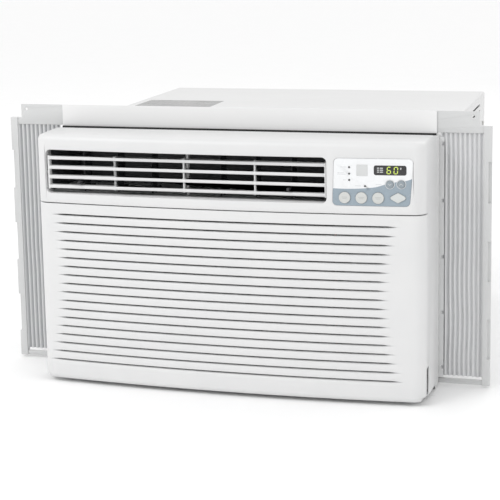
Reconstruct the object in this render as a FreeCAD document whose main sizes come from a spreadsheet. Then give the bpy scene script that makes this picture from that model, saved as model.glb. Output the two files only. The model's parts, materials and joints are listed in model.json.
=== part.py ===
"""Window air conditioner: cabinet, bowed front, air outlet, controls, sliding side curtains, cooling parts.

Frame: X to the right seen from the room, Y from the room to the outside, Z up.
The origin is on the sill, in the middle of the cabinet, under the front face of the top window rail.
"""
import FreeCAD, Part
import math
import os
import re

import Sketcher

Vector = FreeCAD.Vector
X_AXIS, Y_AXIS, Z_AXIS = Vector(1, 0, 0), Vector(0, 1, 0), Vector(0, 0, 1)

SIZES = {
    # sheet metal cabinet
    "cabinet_width": 660, "cabinet_height": 420, "cabinet_front": -28, "cabinet_rear": 632, "sheet": 2,
    "cabinet_corner": 5, "side_vent_low": 268, "side_vent_from": 430, "side_vent_long": 126,
    "side_vent_tall": 4.2, "side_vent_pitch": 12, "side_vent_count": 12,
    "top_vent_left": -310, "top_vent_right": -157, "top_vent_from": 315, "top_vent_wide": 5.6,
    "top_vent_pitch": 11, "top_vent_count": 9,
    # front moulding: bowed in plan, rounded along its top and bottom edges
    "front_depth": 135, "front_bow": 13.5, "front_flat_half": 307, "front_half": 326.5,
         "front_rear_half": 331,
    "front_corner_depth": 103, "front_corner": 22, "front_low": 6, "front_high": 424,
    "front_edge": 9, "front_wall": 3,
    "seam_low": 309.8, "seam_high": 311.4, "door_back": 98, "side_front": 97.5, "slit_back": 103,
    "slit_front": 84, "slit_high": 60, "door_floor_back": 106,
    # air outlet
    "outlet_left": -307, "outlet_right": 172, "outlet_low": 327, "outlet_high": 400, "outlet_corner": 8,
    "tunnel_wall": 2.5, "tunnel_back": 98, "vane_frame_back": 60, "vane_frame_wall": 4,
    # horizontal air deflector
    "deflector_y": -114, "deflector_z": 362, "deflector_deep": 12, "bar_pitch": 16, "bar_thick": 5.6,
    "bar_count": 4, "deflector_gap": 3, "deflector_plate": 2.5, "deflector_pin": 2.5,
    # upright air vanes
    "vane_middle": -70, "vane_pitch": 59.3, "vane_y": -80, "vane_front": -98, "vane_rear": -66,
    "vane_thick": 1.8, "vane_pin": 2, "link_y": -63, "link_pin": 1.5, "running_gap": 0.05,
    # control panel
    "panel_left": 183, "panel_right": 308, "panel_low": 324.6, "panel_high": 399.4, "panel_slant": 6,
    "panel_corner": 7, "panel_proud": -0.8, "panel_thick": 3.4, "button_gap": 0.35, "button_proud": 1,
    "button_row": 337.3, "button_round": 9, "button_small": 5.7,
    # inlet grille
    "slot_count": 18, "slot_pitch": 14.72, "slot_tall": 5.2, "slot_first": 41,
    "hinge_y": -104, "hinge_z": 24, "hinge_pin": 2.5, "hinge_lug_in": 306, "hinge_lug_out": 312,
    # ring for the mains lead
    "bush_x": 315, "bush_y": -62, "bush_neck": 6.4, "bush_flange": 8.4, "bush_bore": 4.8,
    # window rails and side curtains
    "rail_half": 326, "rail_high": 460, "rail_lip": 438, "rail_sheet": 1.6, "rail_inner": 10,
    "frame_low": 4, "frame_high": 436, "frame_bar": 13, "frame_top_bar": 12, "frame_bottom_bar": 8,
    "left_reach": 425, "right_reach": 414.5, "tongue_high": 459.5, "tongue_in": 20, "bar_inner_end": 200,
    "tab_deep": 5, "tab_pitch": 130.5, "tab_tall": 63, "retainer_wide": 8.5, "retainer_low": 16,
    "retainer_high": 418, "notch_pitch": 93.5,
    # cooling parts
    "pan_half": 304, "pan_floor": 18, "pan_front": -92, "pan_rear": 624, "pan_rim": 42,
    "coil_left": -300, "coil_right": 176, "coil_low": 20, "coil_high": 318, "coil_front": -88,
         "coil_back": -48,
    "fan_x": -60, "fan_z": 190, "shaft_radius": 6, "motor_radius": 62, "blower_radius": 98,
    "condenser_fan_radius": 146, "bulkhead_y": 40,
}

doc = FreeCAD.newDocument("window_air_conditioner")
sheet = doc.addObject("Spreadsheet::Sheet", "Sizes")
for row, (alias, value) in enumerate(SIZES.items(), start=1):
    sheet.set(f"A{row}", alias)
    sheet.set(f"B{row}", str(value))
    sheet.setAlias(f"B{row}", alias)
doc.recompute()

NODES = {}


def cells(text):
    """Turns plain size names in a formula into references to the sheet's cells."""
    return re.sub(r"[a-z_]+", lambda m: "Sizes." + m.group() if m.group() in SIZES else m.group(), str(text))


def value(text):
    """The present value of a formula of size names."""
    return float(sheet.evalExpression(cells(text)))


def bind(item, **formulas):
    """Binds properties of an object to formulas; Placement__Base__x stands for Placement.Base.x."""
    for name, formula in formulas.items():
        item.setExpression(name.replace("__", "."), cells(formula))


def node(item, label):
    """Names a finished sub-part; its label is also its file name."""
    item.Label = label
    NODES[label] = item
    return item


# --- solids from formulas -------------------------------------------------------------------------

def block(label, x, y, z):
    """A box from (low, high) formulas along each axis."""
    item = doc.addObject("Part::Box", label)
    bind(item, Length=f"({x[1]}) - ({x[0]})", Width=f"({y[1]}) - ({y[0]})", Height=f"({z[1]}) - ({z[0]})",
         Placement__Base__x=x[0], Placement__Base__y=y[0], Placement__Base__z=z[0])
    return item


def rod(label, axis, start, radius, length):
    """A cylinder from its start point and length along an axis."""
    item = doc.addObject("Part::Cylinder", label)
    item.Placement = FreeCAD.Placement(Vector(), FreeCAD.Rotation(Z_AXIS, axis))
    bind(item, Radius=radius, Height=length, Placement__Base__x=start[0], Placement__Base__y=start[1],
         Placement__Base__z=start[2])
    return item


def fuse(label, *items):
    """One solid out of several that touch or overlap."""
    item = doc.addObject("Part::MultiFuse", label)
    item.Shapes = list(items)
    return item


def cut(label, base, *tools):
    """A solid with one or more others taken away."""
    item = doc.addObject("Part::Cut", label)
    item.Base = base
    item.Tool = tools[0] if len(tools) == 1 else fuse(label + "_tools", *tools)
    return item


def common(label, first, second):
    """What two solids share."""
    item = doc.addObject("Part::Common", label)
    item.Base = first
    item.Tool = second
    return item


def group(label, *items):
    """Separate solids that make one sub-part, such as a set of screws."""
    item = doc.addObject("Part::Compound", label)
    item.Links = list(items)
    return item


def feature(label, shape):
    """A shape made with Part's own functions."""
    item = doc.addObject("Part::Feature", label)
    item.Shape = shape
    return item


def side_block(label, side, near, far, y, z):
    """A box on the left (side -1) or right (side 1), from its near and far distance to the middle."""
    span = (f"{near}", f"{far}") if side > 0 else (f"-({far})", f"-({near})")
    return block(label, span, y, z)


# --- sketched bodies ------------------------------------------------------------------------------

def body(label):
    return doc.addObject("PartDesign::Body", label)


def origin_part(owner, role):
    return next(item for item in owner.Origin.OriginFeatures if item.Role == role)


def sketch_on(owner, role):
    sketch = owner.newObject("Sketcher::SketchObject", owner.Name + "_sketch")
    sketch.AttachmentSupport = [(origin_part(owner, role), "")]
    sketch.MapMode = "FlatFace"
    return sketch


def rectangle(sketch, across, along):
    """A constrained rectangle, placed from the sketch's origin by (low, high) formulas."""
    first = sketch.GeometryCount
    low_x, high_x = (value(text) for text in across)
    low_y, high_y = (value(text) for text in along)
    corners = [Vector(low_x, low_y), Vector(high_x, low_y), Vector(high_x, high_y), Vector(low_x, high_y)]
    for i in range(4):
        sketch.addGeometry(Part.LineSegment(corners[i], corners[(i + 1) % 4]), False)
    for i in range(4):
        sketch.addConstraint(Sketcher.Constraint("Coincident", first + i, 2, first + (i + 1) % 4, 1))
        sketch.addConstraint(Sketcher.Constraint("Vertical" if i % 2 else "Horizontal", first + i))
    for kind, line, text in (("DistanceX", first, across[0]), ("DistanceY", first, along[0]),
                             ("DistanceX", first + 2, across[1]), ("DistanceY", first + 2, along[1])):
        number = sketch.addConstraint(Sketcher.Constraint(kind, -1, 1, line, 1, value(text)))
        sketch.setExpression(f"Constraints[{number}]", cells(text))


def pad(owner, sketch, length, backwards=False):
    item = owner.newObject("PartDesign::Pad", owner.Name + "_pad")
    item.Profile = sketch
    item.Reversed = backwards
    bind(item, Length=length)
    doc.recompute()
    return item


def pocket(owner, sketch, length, both_ways=False, backwards=False):
    """Takes material away and makes sure that something was taken."""
    before = owner.Shape.Volume
    item = owner.newObject("PartDesign::Pocket", owner.Name + "_pocket")
    item.Profile = sketch
    item.Midplane = both_ways
    item.Reversed = backwards
    bind(item, Length=length)
    doc.recompute()
    if owner.Shape.Volume > before - 1:
        raise ValueError(f"{owner.Name}: the pocket cuts nothing")
    return item


def repeat(owner, item, role, count, length):
    """Repeats a feature in a row along an axis of the body."""
    pattern = owner.newObject("PartDesign::LinearPattern", owner.Name + "_row")
    pattern.Originals = [item]
    pattern.Direction = (origin_part(owner, role), [""])
    bind(pattern, Occurrences=count, Length=length)
    owner.Tip = pattern
    doc.recompute()
    return pattern


def edges_along(shape, axis):
    """Names of the straight edges that run along an axis."""
    names = []
    for number, edge in enumerate(shape.Edges, start=1):
        if edge.Curve.TypeId != "Part::GeomLine":
            continue
        if abs(abs(edge.tangentAt(edge.FirstParameter) * axis) - 1) < 1e-6:
            names.append(f"Edge{number}")
    return names


def round_edges(owner, base, names, radius):
    item = owner.newObject("PartDesign::Fillet", owner.Name + "_fillet")
    item.Base = (base, names)
    bind(item, Radius=radius)
    doc.recompute()
    return item


# --- cabinet --------------------------------------------------------------------------------------

def outer_cabinet():
    """Sleeve of sheet metal, open at both ends, with side and top louvre slots and a notch for each slide."""
    cabinet = body("outer_cabinet")
    bind(cabinet, Placement__Base__y="cabinet_front")
    outline = sketch_on(cabinet, "XZ_Plane")
    rectangle(outline, ("-cabinet_width / 2", "cabinet_width / 2"), ("0", "cabinet_height"))
    block_pad = pad(cabinet, outline, "cabinet_rear - cabinet_front", backwards=True)
    round_edges(cabinet, block_pad, edges_along(cabinet.Shape, Y_AXIS), "cabinet_corner")
    hollow = sketch_on(cabinet, "XZ_Plane")
    rectangle(hollow, ("-cabinet_width / 2 + sheet", "cabinet_width / 2 - sheet"),
              ("sheet", "cabinet_height - sheet"))
    pocket(cabinet, hollow, "cabinet_rear - cabinet_front", backwards=False)
    notch = sketch_on(cabinet, "YZ_Plane")
    rectangle(notch, ("1 - cabinet_front", "rail_inner - 0.6 - cabinet_front"), ("sheet + 1.4", "13"))
    pocket(cabinet, notch, "cabinet_width + 20", both_ways=True)
    side = sketch_on(cabinet, "YZ_Plane")
    rectangle(side, ("side_vent_from - cabinet_front", "side_vent_from + side_vent_long - cabinet_front"),
              ("side_vent_low", "side_vent_low + side_vent_tall"))
    side_slot = pocket(cabinet, side, "cabinet_width + 20", both_ways=True)
    repeat(cabinet, side_slot, "Z_Axis", "side_vent_count", "side_vent_pitch * (side_vent_count - 1)")
    top = sketch_on(cabinet, "XY_Plane")
    rectangle(top, ("top_vent_left", "top_vent_right"),
              ("top_vent_from - cabinet_front", "top_vent_from + top_vent_wide - cabinet_front"))
    top.AttachmentOffset = FreeCAD.Placement(Vector(0, 0, value("cabinet_height + 10")), FreeCAD.Rotation())
    top_slot = pocket(cabinet, top, "20")
    repeat(cabinet, top_slot, "Y_Axis", "top_vent_count", "top_vent_pitch * (top_vent_count - 1)")
    node(cabinet, "outer_cabinet")


def rear_grille():
    """Guard over the rear end, with rows of slots in front of the condenser."""
    plate = body("rear_grille")
    bind(plate, Placement__Base__y="cabinet_rear")
    outline = sketch_on(plate, "XZ_Plane")
    rectangle(outline, ("-cabinet_width / 2", "cabinet_width / 2"), ("0", "cabinet_height"))
    plate_pad = pad(plate, outline, "sheet", backwards=True)
    round_edges(plate, plate_pad, edges_along(plate.Shape, Y_AXIS), "cabinet_corner")
    columns = sketch_on(plate, "XZ_Plane")
    for column in range(5):
        left = f"-cabinet_width / 2 + 25 + {column} * 124"
        rectangle(columns, (left, left + " + 114"), ("34", "41"))
    slots = pocket(plate, columns, "sheet * 4", both_ways=True)
    repeat(plate, slots, "Z_Axis", "24", "23 * 15")
    node(plate, "rear_grille")


def base_pan():
    """Tray that carries the cooling parts, on two skids, reaching forward into the front moulding."""
    outer = block("pan_outer", ("-pan_half", "pan_half"), ("pan_front", "pan_rear"), ("pan_floor", "pan_rim"))
    inner = block("pan_inner", ("-pan_half + sheet", "pan_half - sheet"),
                  ("pan_front + sheet", "pan_rear - sheet"),
                  ("pan_floor + sheet", "pan_rim + 1"))
    mouth = block("pan_mouth", ("-pan_half - 1", "pan_half + 1"), ("pan_front - 1", "pan_front + sheet + 1"),
                  ("pan_floor + sheet", "pan_rim + 1"))
    skids = [side_block("pan_skid", side, 200, 216, ("20", "pan_rear - 4"), ("sheet", "pan_floor"))
             for side in (-1, 1)]
    front_foot = block("pan_foot", ("-240", "240"), ("-24", "-8"), ("sheet", "pan_floor"))
    node(fuse("pan", cut("pan_tray", outer, inner, mouth), front_foot, *skids), "base_pan")


# --- window rails and side curtains ---------------------------------------------------------------

def channel(label, x, y, z, front_high, back_high):
    """A U-shaped rail: a foot with a front and a back wall."""
    foot = block(label + "_foot", x, y, z)
    front = block(label + "_front", x, (y[0], f"{y[0]} + rail_sheet"), (z[0], front_high))
    back = block(label + "_back", x, (f"{y[1]} - rail_sheet", y[1]), (z[0], back_high))
    return fuse(label, foot, front, back)


def window_rails():
    """Channels above and inside the cabinet that guide the curtain frames; the upper one meets the sash."""
    span = ("-rail_half", "rail_half")
    depth = ("0", "rail_inner + rail_sheet")
    top = channel("top_rail", span, depth, ("cabinet_height", "cabinet_height + rail_sheet"), "rail_high",
                  "rail_lip")
    node(top, "top_window_rail")
    bottom = channel("bottom_rail", span, depth, ("sheet", "sheet + 1.2"), "13.5", "13.5")
    node(bottom, "bottom_window_rail")


def side_retainer(side, name):
    """Upright channel on the cabinet's side that holds a curtain's inner edge, with five small notches."""
    half = "cabinet_width / 2"
    tall = ("retainer_low", "retainer_high")
    web = side_block(name + "_web", side, half, f"{half} + 1.4", ("-3", "13.4"), tall)
    front = side_block(name + "_front", side, half, f"{half} + retainer_wide", ("-3", "-1.6"), tall)
    back = side_block(name + "_back", side, half, f"{half} + retainer_wide", ("12", "13.4"), tall)
    notches = []
    for row in range(5):
        middle = f"33 + {row} * notch_pitch"
        notches.append(side_block(name + "_notch", side, f"{half} + retainer_wide - 4",
                                  f"{half} + retainer_wide + 1",
                                  ("-4", "-1"), (f"{middle} - 3", f"{middle} + 3")))
    node(cut(name, fuse(name + "_channel", web, front, back), *notches), name)


def curtain_frame(side, name, reach):
    """Outer bar with tabs, top and bottom bars that slide in the rails, and a tongue behind the top rail."""
    slide = ("2.3", "8.3")
    tall = ("frame_low", "frame_high")
    outer = side_block(name + "_outer", side, f"{reach} - frame_bar", f"{reach} - tab_deep", ("0", "9"), tall)
    rear = side_block(name + "_rear", side, f"{reach} - frame_bar", reach, ("6.4", "9"), tall)
    tabs = []
    for row in range(4):
        middle = f"18 + {row} * tab_pitch"
        low, high = f"max({middle} - tab_tall / 2; frame_low)", f"min({middle} + tab_tall / 2; frame_high)"
        tabs.append(side_block(name + "_tab", side, f"{reach} - frame_bar", reach, ("0", "9"), (low, high)))
    top = side_block(name + "_top", side, "bar_inner_end", f"{reach} - frame_bar", slide,
                     ("frame_high - frame_top_bar", "frame_high"))
    bottom = side_block(name + "_bottom", side, "bar_inner_end", f"{reach} - frame_bar", slide,
                        ("frame_low", "frame_low + frame_bottom_bar"))
    tongue = side_block(name + "_tongue", side, "bar_inner_end", f"{reach} - tongue_in", ("2.3", "4.3"),
                        ("frame_high", "tongue_high"))
    sign = "" if side > 0 else "-"
    hole = rod(name + "_hole", Y_AXIS, (f"{sign}({reach} - tongue_in - 10)", "0", "451"), "2.2", "6")
    whole = fuse(name + "_bars", outer, rear, top, bottom, tongue, *tabs)
    node(cut(name, whole, hole), name)


def curtain(side, name, reach):
    """Body of a pleated curtain between the frame's outer bar and the retainer."""
    solid = side_block(name, side, "cabinet_width / 2 + 2.4", f"{reach} - frame_bar",
                       ("2.6", "8"), ("frame_low + frame_bottom_bar + 5", "frame_high - frame_top_bar"))
    node(solid, name)


# --- front moulding -------------------------------------------------------------------------------

def front_plan(inset):
    """Points of the front's outline in plan, right side: (rear, side tangent, corner, front tangent)."""
    flat, bow, corner = value("front_flat_half"), value("front_bow"), value("front_corner") - inset
    big = (flat ** 2 + bow ** 2) / (2 * bow)
    big_centre = Vector(0, big - value("front_depth"), 0)
    rear = Vector(value("front_rear_half"), value("cabinet_front"), 0)
    along = (Vector(value("front_half"), -value("front_corner_depth"), 0) - rear).normalize()
    inward = Vector(along.y, -along.x, 0)
    start = rear + inward * (inset + corner)
    reach = big - inset - corner
    offset = start - big_centre
    step = offset * along
    run = -step + math.sqrt(step ** 2 - offset * offset + reach ** 2)
    centre = start + along * run
    side_point = centre - inward * corner
    front_point = big_centre + (centre - big_centre).normalize() * (big - inset)
    middle = centre + ((side_point - centre) + (front_point - centre)).normalize() * corner
    return rear + inward * inset, side_point, middle, front_point


def bowed_solid(inset, back, low, high, edge):
    """Outer form of the front: a prism with a bowed front in plan and rounded top and bottom edges."""
    lift = Vector(0, 0, low)
    right = [point + lift for point in front_plan(inset)]
    left = [Vector(-point.x, point.y, point.z) for point in right]
    right[0].y = left[0].y = back
    front = Vector(0, inset - value("front_depth"), low)
    curves = [
        Part.LineSegment(left[0], left[1]),
        Part.Arc(left[1], left[2], left[3]),
        Part.Arc(left[3], front, right[3]),
        Part.Arc(right[3], right[2], right[1]),
        Part.LineSegment(right[1], right[0]),
        Part.LineSegment(right[0], left[0]),
    ]
    prism = Part.Face(Part.Wire([curve.toShape() for curve in curves])).extrude(Vector(0, 0, high - low))
    rims = []
    for rim in prism.Edges:
        box = rim.BoundBox
        if box.ZLength < 0.01 and box.YMin < back - 1:
            rims.append(rim)
    return prism.makeFillet(edge, rims)


def bow_slab(proud, thick):
    """Layer that follows the bowed front, from a little proud of it to a depth behind it."""
    depth, flat, bow = value("front_depth") + proud, value("front_flat_half"), value("front_bow")
    outlines = []
    for y in (-depth, -depth + thick):
        outlines.append(Part.Arc(Vector(-flat, y + bow, 0), Vector(0, y, 0),
                                 Vector(flat, y + bow, 0)).toShape())
    ends = [Part.LineSegment(Vector(s * flat, -depth + bow, 0),
                             Vector(s * flat, -depth + bow + thick, 0)).toShape()
            for s in (-1, 1)]
    wire = Part.Wire(Part.__sortEdges__(outlines + ends))
    return Part.Face(wire).extrude(Vector(0, 0, value("cabinet_height")))


def outline_prism(corners, radius):
    """Prism along Y over a closed outline of (x, z) corners, each rounded."""
    count = len(corners)
    flat = [Vector(x, -200, z) for x, z in corners]
    pieces, starts, ends = [], [], []
    for i, corner in enumerate(flat):
        before = (flat[i - 1] - corner).normalize()
        after = (flat[(i + 1) % count] - corner).normalize()
        half_angle = before.getAngle(after) / 2
        run = radius / math.tan(half_angle)
        middle = corner + (before + after).normalize() * (radius / math.sin(half_angle) - radius)
        start, end = corner + before * run, corner + after * run
        pieces.append(Part.Arc(start, middle, end).toShape())
        starts.append(start)
        ends.append(end)
    for i in range(count):
        if (starts[(i + 1) % count] - ends[i]).Length > 1e-6:
            pieces.append(Part.LineSegment(ends[i], starts[(i + 1) % count]).toShape())
    wire = Part.Wire(Part.__sortEdges__(pieces))
    return Part.Face(wire).extrude(Vector(0, 150, 0))


def box_corners(left, right, low, high):
    return [(left, low), (right, low), (right, high), (left, high)]


def panel_corners(grow):
    """Outline of the control panel; its right edge leans inwards towards the bottom."""
    left, right = value("panel_left") - grow, value("panel_right") + grow
    low, high, slant = value("panel_low") - grow, value("panel_high") + grow, value("panel_slant")
    return [(left - 1.5, low), (right - slant, low), (right, high), (left + 1, high)]


def front_shell():
    """Shell of the whole front, before it is split into the fixed moulding and the grille door."""
    wall, back, edge = value("front_wall"), value("cabinet_front"), value("front_edge")
    low, high = value("front_low"), value("front_high")
    outer = bowed_solid(0, back, low, high, edge)
    inner = bowed_solid(wall, back + 5, low + wall, high - wall, edge - wall)
    return outer, feature("front_shell", outer.cut(inner))


def slot_cutters():
    """Rows of air slots, whose ends draw in towards the middle rows."""
    slots = []
    for row in range(int(SIZES["slot_count"])):
        from_top = SIZES["slot_count"] - 1 - row
        left = f"-294.6 - 0.18 * ({from_top} - 6.3)^2"
        right = f"272 + 0.27 * ({from_top} - 7.8)^2"
        middle = f"slot_first + {row} * slot_pitch"
        slots.append(block("slot", (left, right), ("-front_depth - 5", "-door_back - 12"),
                           (f"{middle} - slot_tall / 2", f"{middle} + slot_tall / 2")))
    return slots


def front_moulding():
    """Splits the shell: the fixed moulding with outlet tunnel and lugs, and the inlet grille door."""
    outer, shell = front_shell()
    wide = ("-400", "400")
    door_zone = block("door_zone", wide, ("-200", "-side_front"), ("0", "seam_high"))
    fixed = cut("fixed_shell", shell, door_zone)
    grow = value("tunnel_wall")
    mouth = box_corners(value("outlet_left"), value("outlet_right"), value("outlet_low"),
                        value("outlet_high"))
    collar = box_corners(mouth[0][0] - grow, mouth[1][0] + grow, mouth[0][1] - grow, mouth[2][1] + grow)
    tunnel_shape = outer.common(outline_prism(collar, value("outlet_corner") + grow))
    tunnel = common("tunnel", feature("tunnel_form", tunnel_shape),
                    block("tunnel_zone", wide, ("-200", "-tunnel_back"), ("0", "500")))
    lugs = [side_block("hinge_lug", side, "hinge_lug_in", "hinge_lug_out", ("hinge_y - 4.5", "-84"),
                       ("17.3", "29"))
            for side in (-1, 1)]
    feet = [side_block("hinge_foot", side, "hinge_lug_in", "hinge_lug_out", ("-96", "-84"),
                       ("front_low + 2", "20"))
            for side in (-1, 1)]
    outlet = feature("outlet_hole", outline_prism(mouth, value("outlet_corner")))
    slit = block("side_slit", wide, ("-side_front - 1", "-slit_front"),
                 ("front_low + front_wall", "slit_high"))
    window = feature("panel_window", outline_prism(panel_corners(0.3), value("panel_corner") + 0.3))
    window_zone = common("window_cut", window, block("window_zone", wide, ("-200", "-100"), ("0", "500")))
    gap = "running_gap"
    pins = [rod("deflector_bore", X_AXIS, ("outlet_left - 10", "deflector_y", "deflector_z"),
                f"deflector_pin + {gap}", "outlet_right - outlet_left + 20"),
            rod("hinge_bore", X_AXIS, ("-316", "hinge_y", "hinge_z"), f"hinge_pin + {gap}", "632"),
            rod("bush_bore", Z_AXIS, ("bush_x", "bush_y", "front_low - 6"), "bush_neck", "16")]
    fixed = cut("fixed_slit", fixed, slit)
    node(cut("front_bezel", fuse("front_whole", fixed, tunnel, *lugs, *feet), outlet, window_zone, *pins),
         "front_bezel")

    below = common("door_shell", shell, block("door_box", wide, ("-200", "-door_back"), ("0", "seam_low")))
    slit = block("door_slit", wide, ("-slit_back", "0"), ("0", "slit_high"))
    floor_gap = block("door_floor_gap", wide, ("-door_floor_back", "0"),
                      ("0", "front_low + front_wall + 0.5"))
    door = cut("inlet_grille", below, slit, floor_gap, *slot_cutters())
    node(door, "inlet_grille")
    hinge_pins = [rod("grille_pin", X_AXIS, (start, "hinge_y", "hinge_z"), "hinge_pin", "21")
                  for start in ("-324", "303")]
    node(group("grille_hinge_pins", *hinge_pins), "grille_hinge_pins")
    node(cord_bush_shape(), "cord_bush")


def cord_bush_shape():
    """Flanged rubber ring in the floor of the front, for the mains lead."""
    neck = rod("bush_neck", Z_AXIS, ("bush_x", "bush_y", "front_low - 1.6"), "bush_neck", "8")
    flange = rod("bush_flange", Z_AXIS, ("bush_x", "bush_y", "front_low - 3"), "bush_flange", "3")
    hole = rod("bush_hole", Z_AXIS, ("bush_x", "bush_y", "front_low - 9"), "bush_bore", "20")
    return cut("bush", fuse("bush_body", neck, flange), hole)


# --- air outlet -----------------------------------------------------------------------------------

def outlet_parts():
    """Dark frame that carries the upright vanes, its middle post, and the duct behind it."""
    left, right = "outlet_left - 4.5", "outlet_right + 4.5"
    low, high = "outlet_low - 4.5", "outlet_high + 4.5"
    outer = block("vane_frame_outer", (left, right), ("-tunnel_back", "-vane_frame_back"), (low, high))
    inner = block("vane_frame_inner", (f"{left} + 4", f"{right} - 4"),
                  ("-tunnel_back - 1", "-vane_frame_back + 1"),
                  (f"{low} + vane_frame_wall", f"{high} - vane_frame_wall"))
    holes = [rod("vane_hole", Z_AXIS, (place, "vane_y", "outlet_low - 10"), "vane_pin + running_gap", "100")
             for place in vane_places()]
    node(cut("outlet_frame", outer, inner, *holes), "outlet_frame")
    post = block("outlet_post", ("-69.5", "-65.5"), ("-tunnel_back", "-tunnel_back + 7"),
                 ("outlet_low - 0.5", "outlet_high + 0.5"))
    node(post, "outlet_post")
    duct = block("duct_outer", (left, right), ("-vane_frame_back", "bulkhead_y"), (low, high))
    duct_hollow = block("duct_inner", (f"{left} + 3", f"{right} - 3"),
                        ("-vane_frame_back - 1", "bulkhead_y - 3"),
                        (f"{low} + 3", f"{high} - 3"))
    duct_mouth = block("duct_mouth", ("fan_x - 10", "fan_x + 100"), ("-40", "36"),
                       ("outlet_low - 20", "outlet_low + 5"))
    node(cut("outlet_duct", duct, duct_hollow, duct_mouth), "outlet_duct")


def vane_places():
    """X positions of the six upright vanes, three each side of the middle post."""
    return [f"vane_middle + ({step}) * vane_pitch" for step in (-3, -2, -1, 1, 2, 3)]


def vane(number, place):
    """Upright blade with pivot pins, an ear for the link, and a finger lever on the outermost two."""
    half = "vane_thick / 2"
    blade = block("vane_blade", (f"{place} - {half}", f"{place} + {half}"), ("vane_front", "vane_rear"),
                  ("outlet_low + 1", "outlet_high - 1"))
    clear = block("vane_clear", (f"{place} - 5", f"{place} + 5"), ("vane_rear - 8", "vane_rear + 1"),
                  ("outlet_low", "outlet_low + 14"))
    ear = block("vane_ear", (f"{place} - 3.5", f"{place} + 3.5"), ("vane_y - 4", "link_y + 4"),
                ("outlet_low + 5", "outlet_low + 7.5"))
    pins = [rod("vane_pivot", Z_AXIS, (place, "vane_y", start), "vane_pin", "4.6")
            for start in ("outlet_low - 3.4", "outlet_high - 1.2")]
    parts = [cut("vane_trimmed", blade, clear), ear, *pins]
    if number in (1, 6):
        parts.append(block("vane_lever", (f"{place} - 2", f"{place} + 2"), ("-125", "vane_front + 3"),
                           ("344", "348")))
    hole = rod("vane_link_hole", Z_AXIS, (place, "link_y", "outlet_low"), "link_pin + running_gap", "14")
    node(cut(f"vane_{number}", fuse("vane_whole", *parts), hole), f"vane_{number}")


def vane_link(name, places):
    """Bar with three pins that makes three vanes turn together."""
    bar = block(name + "_bar", (f"{places[0]} - 3.5", f"{places[2]} + 3.5"), ("link_y - 3", "link_y + 3"),
                ("outlet_low + 8.5", "outlet_low + 11"))
    pins = [rod(name + "_pin", Z_AXIS, (place, "link_y", "outlet_low + 4.4"), "link_pin", "4.2")
            for place in places]
    node(fuse(name, bar, *pins), name)


def deflector():
    """Tilting grid of horizontal bars with end plates, ties and a pivot pin at each end."""
    left, right = "outlet_left + deflector_gap", "outlet_right - deflector_gap"
    deep = ("deflector_y - deflector_deep / 2", "deflector_y + deflector_deep / 2")
    half_tall = "(bar_count - 1) * bar_pitch / 2"
    parts = []
    for row in range(int(SIZES["bar_count"])):
        middle = f"deflector_z - {half_tall} + {row} * bar_pitch"
        parts.append(block("deflector_bar", (left, right), deep,
                           (f"{middle} - bar_thick / 2", f"{middle} + bar_thick / 2")))
    tall = (f"deflector_z - {half_tall} - 4.5", f"deflector_z + {half_tall} + 4.5")
    parts.append(block("deflector_end", (left, f"{left} + deflector_plate"), deep, tall))
    parts.append(block("deflector_end", (f"{right} - deflector_plate", right), deep, tall))
    for step in (-1, 0, 1):
        middle = f"(outlet_left + outlet_right) / 2 + ({step}) * 119.5"
        parts.append(block("deflector_tie", (f"{middle} - 1.3", f"{middle} + 1.3"),
                           ("deflector_y - 4", "deflector_y + 4"), tall))
    parts.append(rod("deflector_pivot", X_AXIS, ("outlet_left - 2.3", "deflector_y", "deflector_z"),
                     "deflector_pin",
                     "deflector_gap + 3"))
    parts.append(rod("deflector_pivot", X_AXIS, (f"{right} - 0.7", "deflector_y", "deflector_z"),
                     "deflector_pin",
                     "deflector_gap + 3"))
    node(fuse("deflector_grid", *parts), "deflector_grid")


# --- controls -------------------------------------------------------------------------------------

def bowed_patch(name, prism, proud, thick):
    """Piece that follows the bowed front, cut to an outline."""
    return feature(name, prism.common(bow_slab(proud, thick)))


def round_prism(x, z, radius):
    return Part.makeCylinder(radius, 150, Vector(x, -200, z), Y_AXIS)


def button_outlines():
    """Outline prisms of the six buttons, by name, for a growth all round."""
    row = value("button_row")
    large, small = value("button_round"), value("button_small")
    power = [(284.2 - 15, row + 0.7), (284.2, row - 7.6), (284.2 + 15, row + 0.7), (284.2, row + 9)]
    return {
        "mode_button": lambda grow: round_prism(200.7, row, large + grow),
        "fan_button": lambda grow: round_prism(227, row, large + grow),
        "timer_button": lambda grow: round_prism(253.2, row, large + grow),
        "power_button": lambda grow: outline_prism(spread(power, grow), 3 + grow),
        "down_button": lambda grow: round_prism(271.4, 359.2, small + grow),
        "up_button": lambda grow: round_prism(289, 359.6, small + grow),
    }


def spread(corners, grow):
    """Moves the corners of a lozenge outwards so that its sides move by the growth."""
    middle_x = sum(x for x, _ in corners) / len(corners)
    middle_z = sum(z for _, z in corners) / len(corners)
    half_x = max(x for x, _ in corners) - middle_x
    half_z = max(z for _, z in corners) - middle_z
    factor = 1 + grow * math.hypot(half_x, half_z) / (half_x * half_z)
    return [(middle_x + (x - middle_x) * factor, middle_z + (z - middle_z) * factor) for x, z in corners]


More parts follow.
